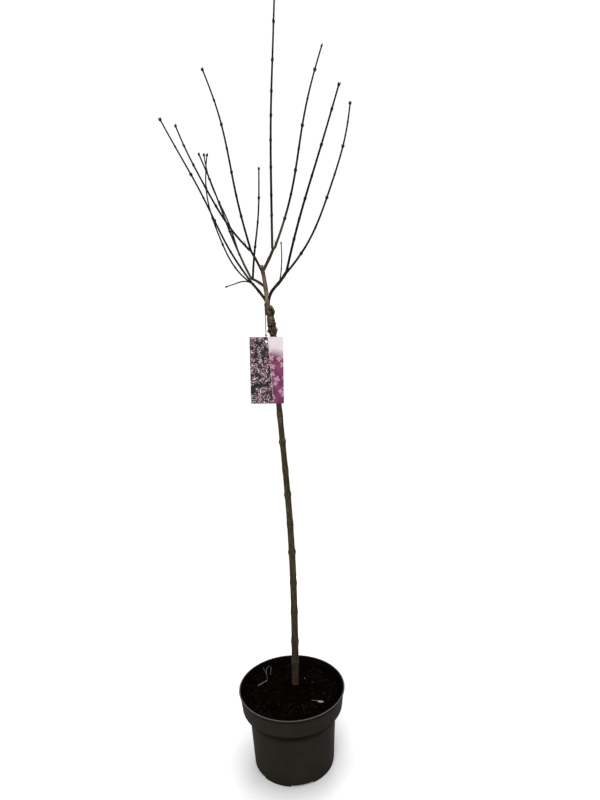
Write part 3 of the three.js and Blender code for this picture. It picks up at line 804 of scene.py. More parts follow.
def make_boughs():
    """The older wood of the crown, each limb with a collar at its foot and a swollen end."""
    for name, sizes in BOUGHS.items():
        limb = Limb(**BOUGH, **sizes)

        def relief(distance, angle, trip):
            collar = 0.55 * np.exp(-distance / 3.5)
            rings = 0.3 * limb.rings(distance, 1.6, 0.5)
            rings = rings + 0.25 * bump(distance, limb.length - 4.5, 0.5)
            return collar + rings + 0.1 * rough(trip * (0.8, 0.8, 0.25), 51)

        def paint(distance, angle, trip):
            patch = noise(trip * (0.5, 0.5, 0.09), 52)
            pale = 0.35 * np.exp(-distance / 4) + 0.35 * limb.rings(distance, 1.6, 0.6)
            return pale, 0.4 * smooth(patch, 0.2, 0.6), 0.25 * smooth(-patch, 0.2, 0.6)

        base, dark = BOUGH_TONES[name]
        light = tuple(part + 16 for part in base)
        material = bark(name + "_bark", base, dark, light, (80, 55, 38), (132, 120, 96), 0.3)
        distances = close_rings(-2.0, limb.length, pick(0.7), limb.nodes, 2.4, 0.4)
        make_limb(
            name + "_wood", "bough_bark", name, material, limb, distances, pick(36), relief,
            paint, ends=(0, 2.2))


# ---- shoots and buds

BUD_SUNK = 1.0  # how deep a bud's root sits in the wood
SCALE_ENDS = (0.58, 0.8, 1.0)  # where each pair of scales ends, as a share of the bud
SCALE_STEPS = 7


def bud_profile(s):
    """A bud's half width from its root, at 0, to its point, at 1, as a share of the greatest."""
    return np.clip(np.sin(math.pi * np.clip(s, 0, 1) ** 0.72), 0, 1) ** 0.8 * (1 - 0.25 * s)


def add_bud(pile, seat, direction, side, length, width, slots):
    """A plump bud: a core wrapped in three opposite pairs of overlapping, keeled scales."""
    direction = unit(direction)
    side = unit(side - direction * np.dot(side, direction))
    other = np.cross(direction, side)
    whole = length + BUD_SUNK

    def surface(s, angle, lift):
        radius = 0.5 * width * bud_profile(s) + lift
        middle = seat + direction * (s * whole - BUD_SUNK)[..., None]
        return middle + radius[..., None] * spokes(angle, side, other)

    def grain(s, angle):
        return polar(width, angle, s * whole)

    s, angle = grid(np.linspace(0.03, 0.99, 9), circle(10))
    pile.add_tube(surface(s, angle, -0.08), slots[0], grain(s, angle), flip=True)

    v, u = grid(np.linspace(0, 1, SCALE_STEPS), np.linspace(-1, 1, SCALE_STEPS))
    faces = [grid_faces(SCALE_STEPS, SCALE_STEPS, wrap=False, flip=True)]
    reach = 1.45 * np.sqrt(np.clip(1 - v ** 2.2, 0.0, 1))
    rim_mark = stack(np.maximum(v ** 3, np.abs(u) ** 4), 0 * v, 0 * v)
    for level, end in enumerate(SCALE_ENDS):
        start = 0.04 + 0.1 * level
        share = start + v * (end - start)
        lift = (0.26 - 0.09 * level) * (0.35 + 0.65 * v) * (1 - 0.55 * u ** 2) + 0.03
        lift = lift + 0.1 * (1 - np.abs(u)) * (1 - v)
        for half in (0, math.pi):
            turn = level * QUARTER + half + u * reach
            pile.add(
                surface(share, turn, lift), faces, slots[level % 2], grain(share, turn), rim_mark)


BUD_SCALES = (
    ("bud_scale_dark", (14, 11, 9), (32, 25, 19)), ("bud_scale_brown", (20, 14, 10), (44, 32, 23)),
    ("bud_scale_olive", (22, 20, 13), (44, 40, 26)),
)
# How pale the feet of some shoots are.
PALE_FEET = dict(shoot_mid_back=0.5, shoot_mid_front=0.3, shoot_top_right=0.26, shoot_centre=0.12)
THIN = 2  # shoots under this radius at the foot have the paler bark of thin shoots


def make_shoot(name, limb, turns, material):
    """A year's shoot, with leaf scars and a ridge under each of its buds."""
    def relief(distance, angle, trip):
        scars = 0
        for node, turn in zip(limb.nodes, turns):
            apart = np.minimum(turn_between(angle, turn), turn_between(angle, turn + math.pi))
            scars = scars + 0.5 * bump(distance, node - 1.5, 0.75) * bump(apart, 0, 0.55)
            scars = scars + 0.2 * bump(distance, node - 0.4, 1.6) * bump(apart, 0, 0.9)
        ribs = 0.05 * np.cos(6 * angle + trip[..., 2] / 60)
        collar = 0.35 * np.exp(-np.maximum(distance, 0) / 2.5)
        return scars + ribs + collar + 0.05 * rough(trip * (1.2, 1.2, 0.3), 61)

    def paint(distance, angle, trip):
        patch = noise(trip * (0.6, 0.6, 0.03), 62)
        foot = PALE_FEET.get(name, 0) * smooth(105 - distance, 0, 70)
        foot = foot * (0.7 + 0.5 * noise(trip * 0.2, 63))
        pale = 0.06 * limb.rings(distance, 2.0, 0.8) + 0.1 * bump(distance, 0, 2) + foot
        return pale, 0.35 * smooth(patch, 0.2, 0.6), 0.3 * smooth(-patch, 0.15, 0.5)

    distances = close_rings(-1.5, limb.length, pick(2.2), limb.nodes, 4, pick(0.5))
    make_limb(
        name + "_wood", "shoot_bark", name, material, limb, distances, pick(16), relief, paint,
        ends=(3, 1.2))


def add_buds(pile, limb, turns, number):
    """A pair of buds at each node of the shoot with this number, and a larger pair at its tip."""
    seats = [
        (node, turn, BUD, LOW_BUDS + (1 - LOW_BUDS) * node / limb.length)
        for node, turn in zip(limb.nodes, turns)
    ]
    seats.append((limb.length - 1.2, turns[-1], TIP_BUD, 1))
    for distance, turn, shape, share in seats:
        place, along, _ = limb.at(distance)
        for half in (0, math.pi):
            outward = limb.outward(distance, turn + half)
            lean = shape.lean * rng.uniform(0.85, 1.05)
            size = rng.uniform(0.88, 0.98) * share * limb.bud_scale
            width = shape.width * size
            seat = place + outward * (limb.radius(distance) - 0.25 * width)
            direction = along * math.cos(lean) + outward * math.sin(lean)
            slots = (0, 1) if (number + round(distance)) % 3 else (1, 2)
            add_bud(pile, seat, direction, outward, shape.length * size, width, slots)


def make_shoots():
    """The year's shoots, and all their buds as one piece."""
    marks = dict(roughness=0.7, streaks=0.3, relief=0.2)
    wood = bark(
        "shoot_bark", (22, 19, 14), (12, 10, 8), (34, 30, 21), (33, 22, 15), (118, 110, 80),
        0.05, **marks)
    thin_wood = bark(
        "thin_shoot_bark", (32, 28, 22), (16, 14, 11), (46, 41, 33), (42, 28, 20),
        (118, 110, 84), 0.06, **marks)
    buds = Pile()
    for number, (name, sizes) in enumerate(SHOOTS.items()):
        limb = Limb(**{**SHOOT, **sizes})
        # Each pair of buds is square to the last, and the last turn is for the buds at the tip.
        turns = [index % 2 * QUARTER + limb.first_turn for index in range(len(limb.nodes) + 1)]
        make_shoot(name, limb, turns, thin_wood if limb.radii[0] < THIN else wood)
        add_buds(buds, limb, turns, number)
    buds.dress("buds", "shoot_bark", [bud_scale(*tones) for tones in BUD_SCALES])


TWIG_BUD = Sizes(length=4.6, width=3.7)
# Short dead spurs between the shoots: foot and tip.
SPURS = (
    ((1.4, -3.2, 1118), (4.3, -4, 1133.4)),
    ((-49, 1.5, 1119), (-57.7, 0.5, 1133.3)),
    ((25.2, -8, 1070), (28.8, -9, 1081.5)),
    ((-52.5, 9, 1072.5), (-60, 8, 1085.6)),
)
SPUR = dict(radii=(1.2, 0.5), bow=0.8, crook=0.5, knuckle=0.4)


def make_twigs():
    """Two thin side twigs, each with an end bud, and the dry spurs between the shoots."""
    wood = bark(
        "twig_bark", (42, 38, 31), (22, 19, 15), (58, 52, 43), (54, 38, 28), (100, 93, 79),
        0.15, roughness=0.75)

    def relief(distance, angle, trip):
        return 0.04 * rough(trip * (1.6, 1.6, 0.4), 71)

    for name, sizes in TWIGS.items():
        limb = Limb(**TWIG, **sizes)
        pile = Pile()
        add_limb(pile, limb, close_rings(-2.0, limb.length, 1.6, limb.nodes, 2.5), 12, relief)
        place, along, out = limb.at(limb.length - 0.6)
        add_bud(pile, place, along, out, TWIG_BUD.length, TWIG_BUD.width, (0, 0))
        pile.dress(name + "_wood", "twig_bark", [wood], name)

    spurs = Pile()
    for foot, tip in SPURS:
        limb = Limb(foot, tip, **SPUR)
        add_limb(spurs, limb, close_rings(0, limb.length, 0.8), 10, relief)
    dry = bark(
        "spur_bark", (82, 75, 54), (46, 42, 30), (108, 99, 74), (72, 56, 40), (128, 118, 92), 0.1)
    spurs.dress("spurs", "twig_bark", [dry])


# ---- pot

WALL_START = POT.lift + POT.wall
STEP_TOP = POT.height - POT.collar_drop
STEP_LOW = STEP_TOP - POT.step_drop
STEP_OVERHANG = 0.8  # how far outside the body's top the step's curve begins
ROLL_HEIGHT = 1.4
SHARP = math.radians(40)


def step_arc(inset):
    """The rounded step's curve, or one inset from it."""
    centre = POT.body_top + STEP_OVERHANG
    angle = -QUARTER * (1 - np.linspace(0, 1, 11))
    radius = centre + (POT.collar - centre - inset) * np.cos(angle)
    return list(zip(radius, STEP_TOP + (POT.step_drop - inset) * np.sin(angle)))


def inner_wall():
    """The inside from the middle of the floor up to the lip."""
    return [
        (0, POT.wall),
        (POT.hub - 2, POT.wall),
        (POT.hub + 1, WALL_START),
        (POT.foot - POT.wall - 2, WALL_START),
        (POT.foot - POT.wall, WALL_START + 1.5),
        (POT.body_top - POT.wall, STEP_LOW + POT.wall - 0.5),
        *step_arc(POT.wall),
        (POT.rim - POT.lip_width, POT.height - POT.lip_drop),
    ]


def outer_wall():
    """The underside, the foot, the body, the step, the collar and the rolled lip."""
    rim, half_lip = POT.rim, POT.lip_width / 2
    foot, inner_foot = POT.foot, POT.foot - POT.foot_width
    lip = POT.height - POT.lip_drop
    return [
        (0, 0), (POT.hub, 0), (POT.hub + 3, POT.lift), (inner_foot - 2, POT.lift),
        (inner_foot, 0.2), (inner_foot + 0.4, 0), (foot - 1, 0), (foot - 0.3, 0.3), (foot, 1),
        (POT.body_top - 0.1, STEP_LOW - 1.2), (POT.body_top + 0.2, STEP_LOW - 0.2),
        *step_arc(0), (POT.collar + 0.15, STEP_TOP + 1.5),
        (rim - POT.lip_reach, lip - 0.8), (rim - 0.5, lip - 0.1),
        *((rim - half_lip + half_lip * math.cos(angle),
           POT.height - ROLL_HEIGHT + ROLL_HEIGHT * math.sin(angle))
          for angle in np.linspace(0, math.pi, 9)),
    ]


def filled(profile, spacing):
    """The profile with points added, so that no stretch is longer than the spacing."""
    points = [profile[0]]
    for start, end in zip(profile, profile[1:]):
        count = max(1, math.ceil(math.dist(start, end) / spacing))
        step = np.subtract(end, start)
        points += [tuple(np.add(start, step * (i / count))) for i in range(1, count + 1)]
    return points


def turned(profile, segments):
    """Rings of points: the profile's radii and heights turned about the Z axis."""
    angle = circle(segments)
    radius, height = (np.array(part)[:, None] for part in zip(*profile))
    return polar(radius, angle, height)


def pot_cutters():
    """The five notches at the foot, and the five drain holes, each kind as one mesh."""
    notches, drains = Pile(), Pile()
    half, lift, deep = POT.notch_width / 2, POT.lift, 10
    outline = (
        (half, -lift), (half, lift - 1), (half - 1, lift),
        (1 - half, lift), (-half, lift - 1), (-half, -lift),
    )
    for index in range(POT.notches):
        turn = POT.first_notch + TAU * index / POT.notches
        out, over = polar(1, turn, 0), polar(1, turn + QUARTER, 0)
        notches.add_tube(np.array([
            [out * reach + over * across + (0, 0, z) for across, z in outline]
            for reach in (POT.notch_inner, POT.foot + deep)
        ]), flip=True)
        ring = turned([(POT.drain, -deep), (POT.drain, deep)], 32)
        drains.add_tube(ring + POT.drain_ring * out, flip=True)
    return notches.piece("pot_notches"), drains.piece("pot_drains")


def make_pot():
    """A thin-walled pot with a rolled lip, a rounded step under the collar and a notched foot."""
    profile = filled(outer_wall() + inner_wall()[::-1], 9)
    pile = Pile()
    pile.add_tube(turned(profile[1:-1], pick(224)), flip=True)
    piece = pile.piece("pot_shell", pot_plastic())
    cutters = pot_cutters()
    for cutter in cutters:
        cut = piece.modifiers.new("cut", "BOOLEAN")
        cut.operation, cut.solver, cut.object = "DIFFERENCE", "EXACT", cutter
    graph = bpy.context.evaluated_depsgraph_get()
    mesh = bpy.data.meshes.new_from_object(piece.evaluated_get(graph))
    piece.modifiers.clear()
    piece.data = mesh
    for cutter in cutters:
        bpy.data.objects.remove(cutter)
    mesh.set_sharp_from_angle(angle=SHARP)
    finish_piece(piece, "pot_plastic", "pot")


# ---- soil

HEAP = Sizes(height=7.0, reach=14.0)  # the soil drawn up round the stem's foot
SOIL_GAP = Sizes(side=0.3, below=0.4)  # between the soil and the pot
STEM_GAP = Sizes(crumbs=9.0, litter=14.0)  # how far loose bits keep off the stem
FLAKE_SIDES = 7
STEM_X, STEM_Y, _ = Limb(**TRUNK).at(SOIL.level - TRUNK["foot"][2])[0]


def soil_height(x, y):
    """The soil's surface: gentle waves, crumbly, level near the stem and heaped at its foot."""
    waves = np.sin(x / 17 + y / 29) + np.sin(y / 13 - x / 31) + 0.7 * np.sin((x + y) / 9)
    away = smooth(np.hypot(x, y), SOIL.flat - 8, SOIL.flat + 24)
    grit = 0.75 * rough(stack(x, y, 0 * x) * 0.16, 81, 4)
    heap = HEAP.height * np.exp(-np.hypot(x - STEM_X, y - STEM_Y) / HEAP.reach)
    waves = away * SOIL.relief * waves / 2.7 * 0.8
    return SOIL.level - 0.4 + waves + grit * (0.5 + 0.5 * away) + heap


def on_soil(x, y, lift):
    """Places on the soil, lifted off it."""
    return stack(x, y, soil_height(x, y) + lift)


def soil_edge():
    """How far the soil reaches, at its surface."""
    (low_radius, low_height), (top_radius, top_height) = inner_wall()[-2:]
    rise = (SOIL.level - low_height) / (top_height - low_height)
    return low_radius + (top_radius - low_radius) * rise - SOIL_GAP.side


def make_soil():
    """The compost: a crumbly top, and the filled body that shows through the drain holes."""
    radii = np.sqrt(np.linspace(0, 1, pick(86))[1:]) * soil_edge()
    radius, angle = grid(radii[::-1], circle(pick(330)))
    top = on_soil(*np.moveaxis(polar(radius, angle), -1, 0), 0)
    gap = SOIL_GAP.below
    below = [(max(r - gap, 0.5), z + gap) for r, z in inner_wall()[:-1]]
    pile = Pile()
    pile.add_tube(np.concatenate([turned(below, top.shape[1]), top]), flip=True)
    material = compost("compost", (3, 2, 1), (8, 5, 3), (21, 9, 5))
    pile.dress("compost_body", "compost", [material], "soil")


def add_lump(pile, centre, size, squash, sides=6):
    """A small irregular lump."""
    s, angle = grid(np.linspace(0.12, math.pi - 0.12, 5), circle(sides))
    ball = polar(np.sin(s), angle, np.cos(s))
    ball = ball * rng.uniform(0.72, 1.25, ball.shape[:2])[..., None]
    tilt = Matrix.Rotation(rng.uniform(0, TAU), 3, Vector(unit(rng.normal(size=3))))
    pile.add_tube(centre + (ball * (1, 1, squash) * size) @ np.array(tilt))


def random_spot(edge, keep_off):
    """A place on the soil, off the stem."""
    while True:
        x, y = rng.uniform(-edge, edge, 2)
        stem_apart = math.hypot(x - TRUNK["foot"][0], y - TRUNK["foot"][1])
        if math.hypot(x, y) < edge and stem_apart > keep_off:
            return x, y


def add_strand(pile, points, radius, slot=0, sides=5, tip=0.5):
    """A thin round strand through points, thinner at its end."""
    heading = unit(np.gradient(points, axis=0))
    helper = np.where(np.abs(heading[:, 2:]) > 0.9, [[1.0, 0, 0]], [[0, 0, 1.0]])
    first = unit(np.cross(heading, helper))
    second = np.cross(heading, first)
    girth = radius * np.linspace(1, tip, len(points))[:, None, None]
    rings = points[:, None] + girth * spokes(circle(sides), first[:, None], second[:, None])
    pile.add_tube(rings, slot, flip=True)


def lying(x0, y0, x1, y1, sag, lift, steps=9):
    """Points from one place to another on the soil, bowed to one side by sag."""
    t = np.linspace(0, 1, steps)
    sway = sag * np.sin(math.pi * t)
    away = unit(np.array([y1 - y0, x0 - x1]) + 1e-6)
    return on_soil(x0 + (x1 - x0) * t + sway * away[0], y0 + (y1 - y0) * t + sway * away[1], lift)


def trailing(spots):
    """Points on the soil along a smooth line through spots."""
    t = np.linspace(0, len(spots) - 1, 25)
    path = softened(read_path(t, np.arange(len(spots)), np.array(spots, float)), 6)
    return on_soil(*path.T, 1.2)


# Crumbs of compost, dealt out in turn: name, base, light and ruddy tones.
CRUMBS = (
    ("crumbs_dark", (3, 2, 1), (6, 4, 3), (8, 4, 2)),
    ("crumbs_brown", (7, 4, 2), (19, 10, 6), (30, 13, 6)),
    ("crumbs_grey", (4, 3, 2), (11, 8, 5), (15, 9, 6)),
)
# Roots that lie on the soil: slot, grey or dim, then radius and the spots they pass.
ROOTS = (
    (0, 0.62, (-54.5, 92), (-60.3, 83.2), (-59.9, 62.9), (-56.5, 42.9)),
    (0, 0.5, (-68.2, 86.2), (-64.5, 74), (-60, 64.4)),
    (0, 0.5, (-50.6, 87.8), (-49.3, 72), (-50.6, 58.8)),
    (1, 0.3, (20.7, -52.4), (24.8, -63.1), (26.8, -79.7)),
    (1, 0.26, (-8.7, -57.1), (-5.5, -50.5), (-0.4, -46.9), (13.7, -45.6)),
    (1, 0.26, (4.6, -62.3), (-2.5, -70), (-7.8, -80.3)),
)
GRIT = ((28.6, 37.6, 1.3), (45.8, 25.6, 1.0), (7.6, -76.5, 0.7))  # x, y and size
# The section of a flat wood chip, as shares of its half width and of 1 mm, and how its edge
# wavers along its length.
CHIP_SECTION = ((-1, -0.5), (-0.9, 0.4), (0, 0.7), (0.9, 0.4), (1, -0.5), (0, -0.8))
CHIP_EDGE = (1, 0.9, 1.1, 1, 0.85, 1.05, 1, 0.8, 1)


def make_crumbs(edge):
    crumbs = [Pile() for _ in CRUMBS]
    for index in range(pick(3600)):
        x, y = random_spot(edge, STEM_GAP.crumbs)
        size = 0.55 + 1.7 * rng.random() ** 3
        place = on_soil(x, y, 0.15 * size)
        add_lump(crumbs[index % len(CRUMBS)], place, size, rng.uniform(0.5, 0.95))
    for pile, (name, *tones) in zip(crumbs, CRUMBS):
        pile.dress(name, "compost", [compost(name, *tones)])


def make_fibres(edge):
    fibres = Pile()
    for _ in range(pick(210)):
        x, y = random_spot(edge - 12, STEM_GAP.litter)
        turn, reach = rng.uniform(0, TAU), rng.uniform(6, 24)
        x1, y1 = x + reach * math.cos(turn), y + reach * math.sin(turn)
        if math.hypot(x1, y1) < edge - 2:
            sag = rng.uniform(-0.3, 0.3) * reach
            points = lying(x, y, x1, y1, sag, rng.uniform(0.3, 1.3))
            add_strand(fibres, points, rng.uniform(0.14, 0.32))
    fibres.dress("root_fibres", "compost", [plain_fibre("root_fibre", (12, 7, 4), (34, 22, 14))])


def make_roots():
    """The grey roots and the dim ones that lie on the soil."""
    roots = Pile()
    for slot, radius, *spots in ROOTS:
        add_strand(roots, trailing(spots), radius, slot, sides=7, tip=0.6)
    grey = plain_fibre("grey_root", (72, 72, 72), (112, 113, 114))
    dim = plain_fibre("dim_root", (34, 30, 27), (62, 57, 52))
    roots.dress("grey_roots", "compost", [grey, dim])


def make_litter():
    """Two dry stalks, a flat chip of wood and a little pale grit."""
    litter = Pile()
    stalk = lying(-75.6, 19.8, -56.5, 39.6, 0.6, 1.5, 12)
    add_strand(litter, stalk, 1.25, 1, sides=9, tip=0.75)
    add_strand(litter, lying(57, -44, 43.5, -39, 0.8, 1.2, 10), 0.6, sides=7)
    chip = lying(55.5, -44.5, 68, -46.5, 0, 1.6)
    shares = np.linspace(0.08, 0.94, len(CHIP_EDGE))
    half_width = 3.4 * np.sin(math.pi * shares) ** 0.6 * CHIP_EDGE
    section = np.insert(CHIP_SECTION, 0, 0, axis=1)
    litter.add_tube(chip[:, None] + stack(0, half_width, 1)[:, None] * section)
    straw = plain_fibre("dry_stalk", (94, 84, 70), (160, 148, 128))
    dull = plain_fibre("dull_stalk", (78, 70, 61), (122, 113, 101))
    litter.dress("dry_stalks", "compost", [straw, dull])

    specks = Pile()
    for x, y, size in GRIT:
        add_lump(specks, on_soil(x, y, 0.5 * size), size, 0.8, 8)
    specks.dress("pale_grit", "compost", [plain_fibre("pale_grit", (84, 80, 72), (124, 117, 108))])


def make_chips(edge):
    """Thin flakes of bark, tilted every way."""
    chips = Pile()
    for _ in range(pick(170)):
        x, y = random_spot(edge, STEM_GAP.litter)
        size = rng.uniform(1.4, 3.6)
        turn = rng.uniform(0, TAU)
        corners = np.array([
            [size * math.cos(a) * rng.uniform(0.7, 1.1),
             0.5 * size * math.sin(a) * rng.uniform(0.7, 1.1), 0] for a in circle(FLAKE_SIDES)
        ])
        tilt = Matrix.Rotation(rng.uniform(-0.5, 0.5), 3, "X")
        flat = corners @ np.array(Matrix.Rotation(turn, 3, "Z") @ tilt).T
        thick = np.array([0, 0, rng.uniform(0.25, 0.6)])
        chips.add_tube(np.stack([flat - thick, flat + thick]) + on_soil(x, y, 0.8), flip=True)
    woody = plain_fibre("bark_chip", (10, 7, 5), (26, 16, 10), 420.0)
    piece = chips.dress("bark_chips", "compost", [woody])
    piece.data.set_sharp_from_angle(angle=math.radians(35))


def strew_soil():
    """Crumbs, fibres, bits of bark and the few pale things that lie on the soil."""
    edge = soil_edge() - 2.5
    make_crumbs(edge)
    make_fibres(edge)
    make_roots()
    make_litter()
    make_chips(edge - 4)


# ---- label and twine

# Kinds of small blossom on the print: spacing, size of petals, shift and where they cluster.
BLOSSOMS = ((2.7, 0.5, 3.1, 0.42), (3.9, 0.44, 11.3, 0.5))


def card_print():
    """A generic print: small four-petalled blossoms on a dark green field, which a slanting
    edge parts from a magenta field that fades to white in one corner."""
    look = Surface("card_print", 0.32, 0.45)
    place = look.attribute("grain")
    x, y, _ = look.split(place)

    def blossoms(spread, petal, shift):
        spaced = look.scaled(place, (1 / spread, 1 / spread, 0))
        spaced = look.vector("ADD", spaced, (shift, shift * 1.7, 0))
        cell = look.cells(spaced, 1.0, "2D")
        local = look.vector("SUBTRACT", spaced, cell.outputs["Position"])
        across, up, _ = look.split(local)
        chance, size, tint = look.split(cell.outputs["Color"])
        angle = look.plus(look.math("ARCTAN2", up, across), look.times(tint, 6.0))
        lobes = look.math("ABSOLUTE", look.math("COSINE", look.times(angle, 2.0)))
        reach = look.times(look.plus(look.times(lobes, 0.6), 0.4), petal)
        reach = look.times(reach, look.plus(look.times(size, 0.5), 0.6))
        away = look.vector("LENGTH", local)
        mask = look.step(look.math("SUBTRACT", away, reach), -0.03, 0.03, 1.0, 0.0)
        return mask, look.step(away, 0.03, 0.09, 1.0, 0.0), chance, away

    leaf = look.noise(place, (0.16, 0.3, 1.0), 4.0, 0.6)
    picture = look.layer((9, 13, 11), (28, 42, 30), leaf, 0.38, 0.62)
    picture = look.layer(picture, (84, 98, 74), leaf, 0.58, 0.75)
    cluster = look.noise(place, 0.085, 2.0, 0.5)
    for *kind, low in BLOSSOMS:
        mask, heart, chance, away = blossoms(*kind)
        here = look.times(mask, look.step(cluster, low, low + 0.06))
        petals = look.layer((104, 34, 72), (250, 222, 236), chance, 0.2, 0.85)
        petals = look.layer(petals, (142, 76, 112), away, 0.1, 0.5, 0.0, 0.45)
        picture = look.mix(here, picture, petals)
        picture = look.mix(look.times(heart, here), picture, (236, 220, 190))

    soft = look.noise(place, 0.05, 2.0, 0.5)
    band = look.layer((112, 40, 76), (136, 68, 104), soft, 0.3, 0.7)
    mask = blossoms(15.0, 0.42, 7.7)[0]
    band = look.mix(look.times(mask, 0.6), band, (214, 178, 194))
    corner = look.plus(look.times(x, 0.25), y)
    band = look.layer(band, (236, 222, 228), corner, -31.0, -4.0)

    slant = look.plus(x, look.times(y, 0.07))
    tone = look.layer(picture, (214, 200, 206), slant, 3.5, 3.7)
    return look.finish(look.layer(tone, band, slant, 4.0, 4.2))


LABEL_BEVEL = 0.12


def make_label():
    """The printed card, with rounded corners and a punched hole."""
    corner, side = LABEL.corner, LABEL.width / 2 - LABEL.corner
    top = LABEL.hole_drop - corner
    low = LABEL.hole_drop - LABEL.height + corner
    outline = []
    for quarter, centre in enumerate(((side, top), (-side, top), (-side, low), (side, low))):
        arc = np.linspace(0, QUARTER, 7) + quarter * QUARTER
        outline += (centre + polar(corner, arc)).tolist()
    # The same number of points round the hole, each at its outline point's angle, so that
    # quads fill the card between the two.
    outline = np.array(filled(outline + outline[:1], 6)[:-1])
    angle = np.arctan2(outline[:, 1], outline[:, 0])
    hole = polar(LABEL.hole_radius, angle)
    half, edge = LABEL.thickness / 2, LABEL_BEVEL
    inner = outline - unit(outline - outline.mean(0)) * edge
    wide_hole = hole * (1 + edge / LABEL.hole_radius)
    grain = np.array([np.insert(flat, 2, y, axis=1) for flat, y in (
        (hole, -half + edge), (wide_hole, -half), (inner, -half), (outline, -half + edge),
        (outline, half - edge), (inner, half), (wide_hole, half), (hole, half - edge),
    )])
    x, z, y = np.moveaxis(grain, -1, 0)
    cos, sin = math.cos(LABEL.roll), math.sin(LABEL.roll)
    rings = LABEL.hole + stack(x * cos + z * sin, y, z * cos - x * sin)
    pile = Pile()
    pile.add(rings, [grid_faces(*rings.shape[:2], close=True)], 0, grain)
    piece = pile.dress("label_card", "label_card", [card_print()], "label")
    piece.data.set_sharp_from_angle(angle=math.radians(30))


TWINE = Sizes(lay=4.2, plies=3, step=0.3, sides=15, clear=0.3)


def add_twine(pile, points, slot, radius=TIE.radius):
    """Twisted twine along points: the plies show as ridges that wind round it."""
    points = np.array(points, float)
    gone = along_path(points)
    distance = np.arange(0, gone[-1], TWINE.step)
    path = softened(read_path(distance, gone, points), 3)
    heading = unit(np.gradient(path, axis=0))
    first = np.zeros_like(heading)
    first[0] = unit(np.cross(heading[0], (0.3, 1, 0.2)))
    for index in range(1, len(path)):
        before = first[index - 1]
        first[index] = unit(before - heading[index] * before.dot(heading[index]))
    second = np.cross(heading, first)
    angle, distance = circle(TWINE.sides)[None], distance[:, None]
    wind = angle - TAU * distance / TWINE.lay
    girth = radius * (0.76 + 0.24 * np.abs(np.cos(TWINE.plies / 2 * wind)))
    girth = girth + 0.03 * noise(polar(3, angle, distance * 2), 91)
    rings = path[:, None] + girth[..., None] * spokes(angle, first[:, None], second[:, None])
    pile.add_tube(rings, slot, polar(girth, wind, distance), flip=True)


def make_twine():
    """The twine: a slanting loop round the scion, a strand down, a knot and an eye."""
    limb = Limb(**SCION)
    clear = TWINE.clear + TIE.radius
    reach = limb.radius(TIE.loop_at) + clear

    def round_scion(x, z):
        place, _, out = limb.at(TIE.loop_at - x * TIE.loop_rise)
        return place + out * x + limb.across * z

    loop = [round_scion(reach * math.cos(a), reach * math.sin(a)) for a in np.linspace(0, TAU, 49)]
    leaves = reach * math.sqrt(0.5)
    start = round_scion(leaves, -leaves)
    side, seat = LABEL.thickness / 2 + clear, LABEL.hole_radius - clear
    low_front, low_back = (LABEL.hole + (0, y, seat) for y in (-side, side))
    knot_front, knot, knot_back = (LABEL.hole + (0, y, TIE.knot_rise) for y in (-side, 0, side))
    pile = Pile()
    add_twine(pile, loop, 0)
    middle = start * 0.5 + knot_front * 0.5 + (0.4, -0.2, 0)
    add_twine(pile, [start, middle, knot_front], 1, 0.85)
    under = (low_front + low_back) / 2 - (0, 0, 0.1)
    rise = (0, 0, 0.6)
    add_twine(pile, [knot_front, low_front + rise, under, low_back + rise, knot_back], 1)
    turns = np.linspace(0, 1.6 * TAU, 40)
    add_twine(pile, knot + polar(1.2, turns, 2.2 * turns / turns[-1] - 1.1), 1)
    pale = twine_fibre("tie_twine_pale", (128, 110, 98), (196, 178, 162))
    dark = twine_fibre("tie_twine_dark", (30, 25, 21), (72, 63, 54))
    pile.dress("twine", "tie_twine", [pale, dark], "label_tie")


# ---- stage

CAMERA = Sizes(
    place=(0.0412, -1.2103, 1.0115), pitch=math.radians(9.29), roll=math.radians(2.1),
    focal_pixels=601, frame_pixels=800, sensor=36.0,
)
WHITE = (1.0, 1.0, 1.0, 1.0)
SKY_STRENGTH = 0.32
FLOOR = Sizes(radius=900, inner=400, depth=20, drop=0.3)
DOME = Sizes(radius=3900, turn=1.55, strength=1.05)
# Soft round lights: name, place, target, size and power.
LIGHTS = (
    ("key", (-0.5, -2.4, 2.3), (0, 0, 0.8), 1.6, 46),
    ("top", (0.1, 0.1, 3.2), (0, 0, 0), 2.6, 82),
    ("back", (0.4, 2.4, 1.8), (0, 0, 0.7), 1.4, 14),
)


def make_camera():
    data = bpy.data.cameras.new("camera")
    data.sensor_width = CAMERA.sensor
    data.lens = CAMERA.focal_pixels / CAMERA.frame_pixels * CAMERA.sensor
    camera = bpy.data.objects.new("camera", data)
    pitch, roll = CAMERA.pitch, CAMERA.roll
    forward = Vector((0, math.cos(pitch), -math.sin(pitch)))
    level = Vector((1, 0, 0))
    up = level.cross(forward)
    across = level * math.cos(roll) - up * math.sin(roll)
    upward = level * math.sin(roll) + up * math.cos(roll)
    axes = Matrix((across, upward, -forward)).transposed().to_4x4()
    camera.matrix_world = Matrix.Translation(CAMERA.place) @ axes
    bpy.context.collection.objects.link(camera)
    bpy.context.scene.camera = camera


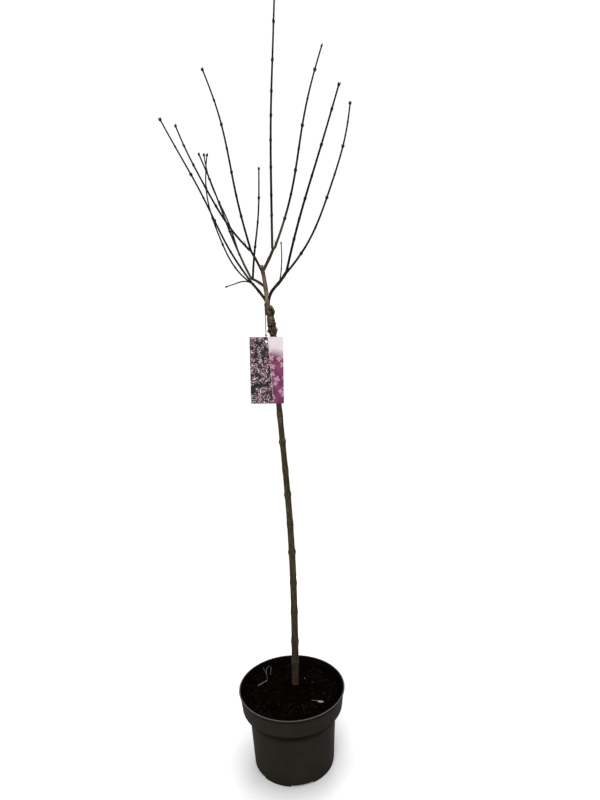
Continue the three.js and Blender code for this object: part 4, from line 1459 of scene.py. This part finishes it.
def soft_light(name, place, target, size, power):
    data = bpy.data.lights.new(name, "AREA")
    data.shape, data.size, data.energy = "DISK", size, power
    light = bpy.data.objects.new(name, data)
    light.location = place
    light.rotation_euler = (Vector(target) - Vector(place)).to_track_quat("-Z", "Y").to_euler()
    bpy.context.collection.objects.link(light)


def make_stage():
    """A plain pale floor that fades into a white surround, under soft lights."""
    scene = bpy.context.scene
    scene.view_settings.view_transform = "Standard"
    world = bpy.data.worlds.new("studio")
    world.use_nodes = True
    backdrop = world.node_tree.nodes["Background"]
    backdrop.inputs["Color"].default_value = WHITE
    backdrop.inputs["Strength"].default_value = SKY_STRENGTH
    scene.world = world

    floor = Pile()
    profile = [(FLOOR.radius, -FLOOR.depth)]
    profile += [(radius, -FLOOR.drop) for radius in (FLOOR.radius, FLOOR.inner, 0.5)]
    floor.add_tube(turned(profile, 96), flip=True)
    paint = Surface("studio_floor", 0.7, 0.2)
    place = paint.place()
    paint.finish(paint.mix(paint.noise(place, 3.0, 2.0), (244, 244, 244), (250, 250, 250)))
    away = paint.vector("LENGTH", place)
    glow = paint.plus(
        paint.step(away, 0.25, 0.85, 0.0, 0.5), paint.step(away, 0.8, 0.89, 0.0, 0.6))
    paint.put("Emission Color", WHITE)
    paint.put("Emission Strength", glow)
    floor.piece("floor", paint.material)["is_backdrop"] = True

    dome = Pile()
    turns = np.linspace(-DOME.turn, DOME.turn, 24)
    dome.add_tube(turned(polar(DOME.radius, turns), 64))
    white = Surface("white_surround", 1.0, 0.0)
    white.put("Base Color", (0.0, 0.0, 0.0, 1.0))
    white.put("Emission Color", WHITE)
    white.put("Emission Strength", DOME.strength)
    surround = dome.piece("surround", white.material)
    for ray in ("diffuse", "glossy", "transmission", "volume_scatter", "shadow"):
        setattr(surround, "visible_" + ray, False)
    surround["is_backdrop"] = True

    for light in LIGHTS:
        soft_light(*light)


make_camera()
make_stage()
make_pot()
make_soil()
strew_soil()
make_stem()
make_graft()
make_scion()
make_boughs()
make_shoots()
make_twigs()
make_label()
make_twine()

boxes = {"cad": CAD_BOX, "visual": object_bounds()}
{name: [list(corner) for corner in box] for name, box in boxes.items()}
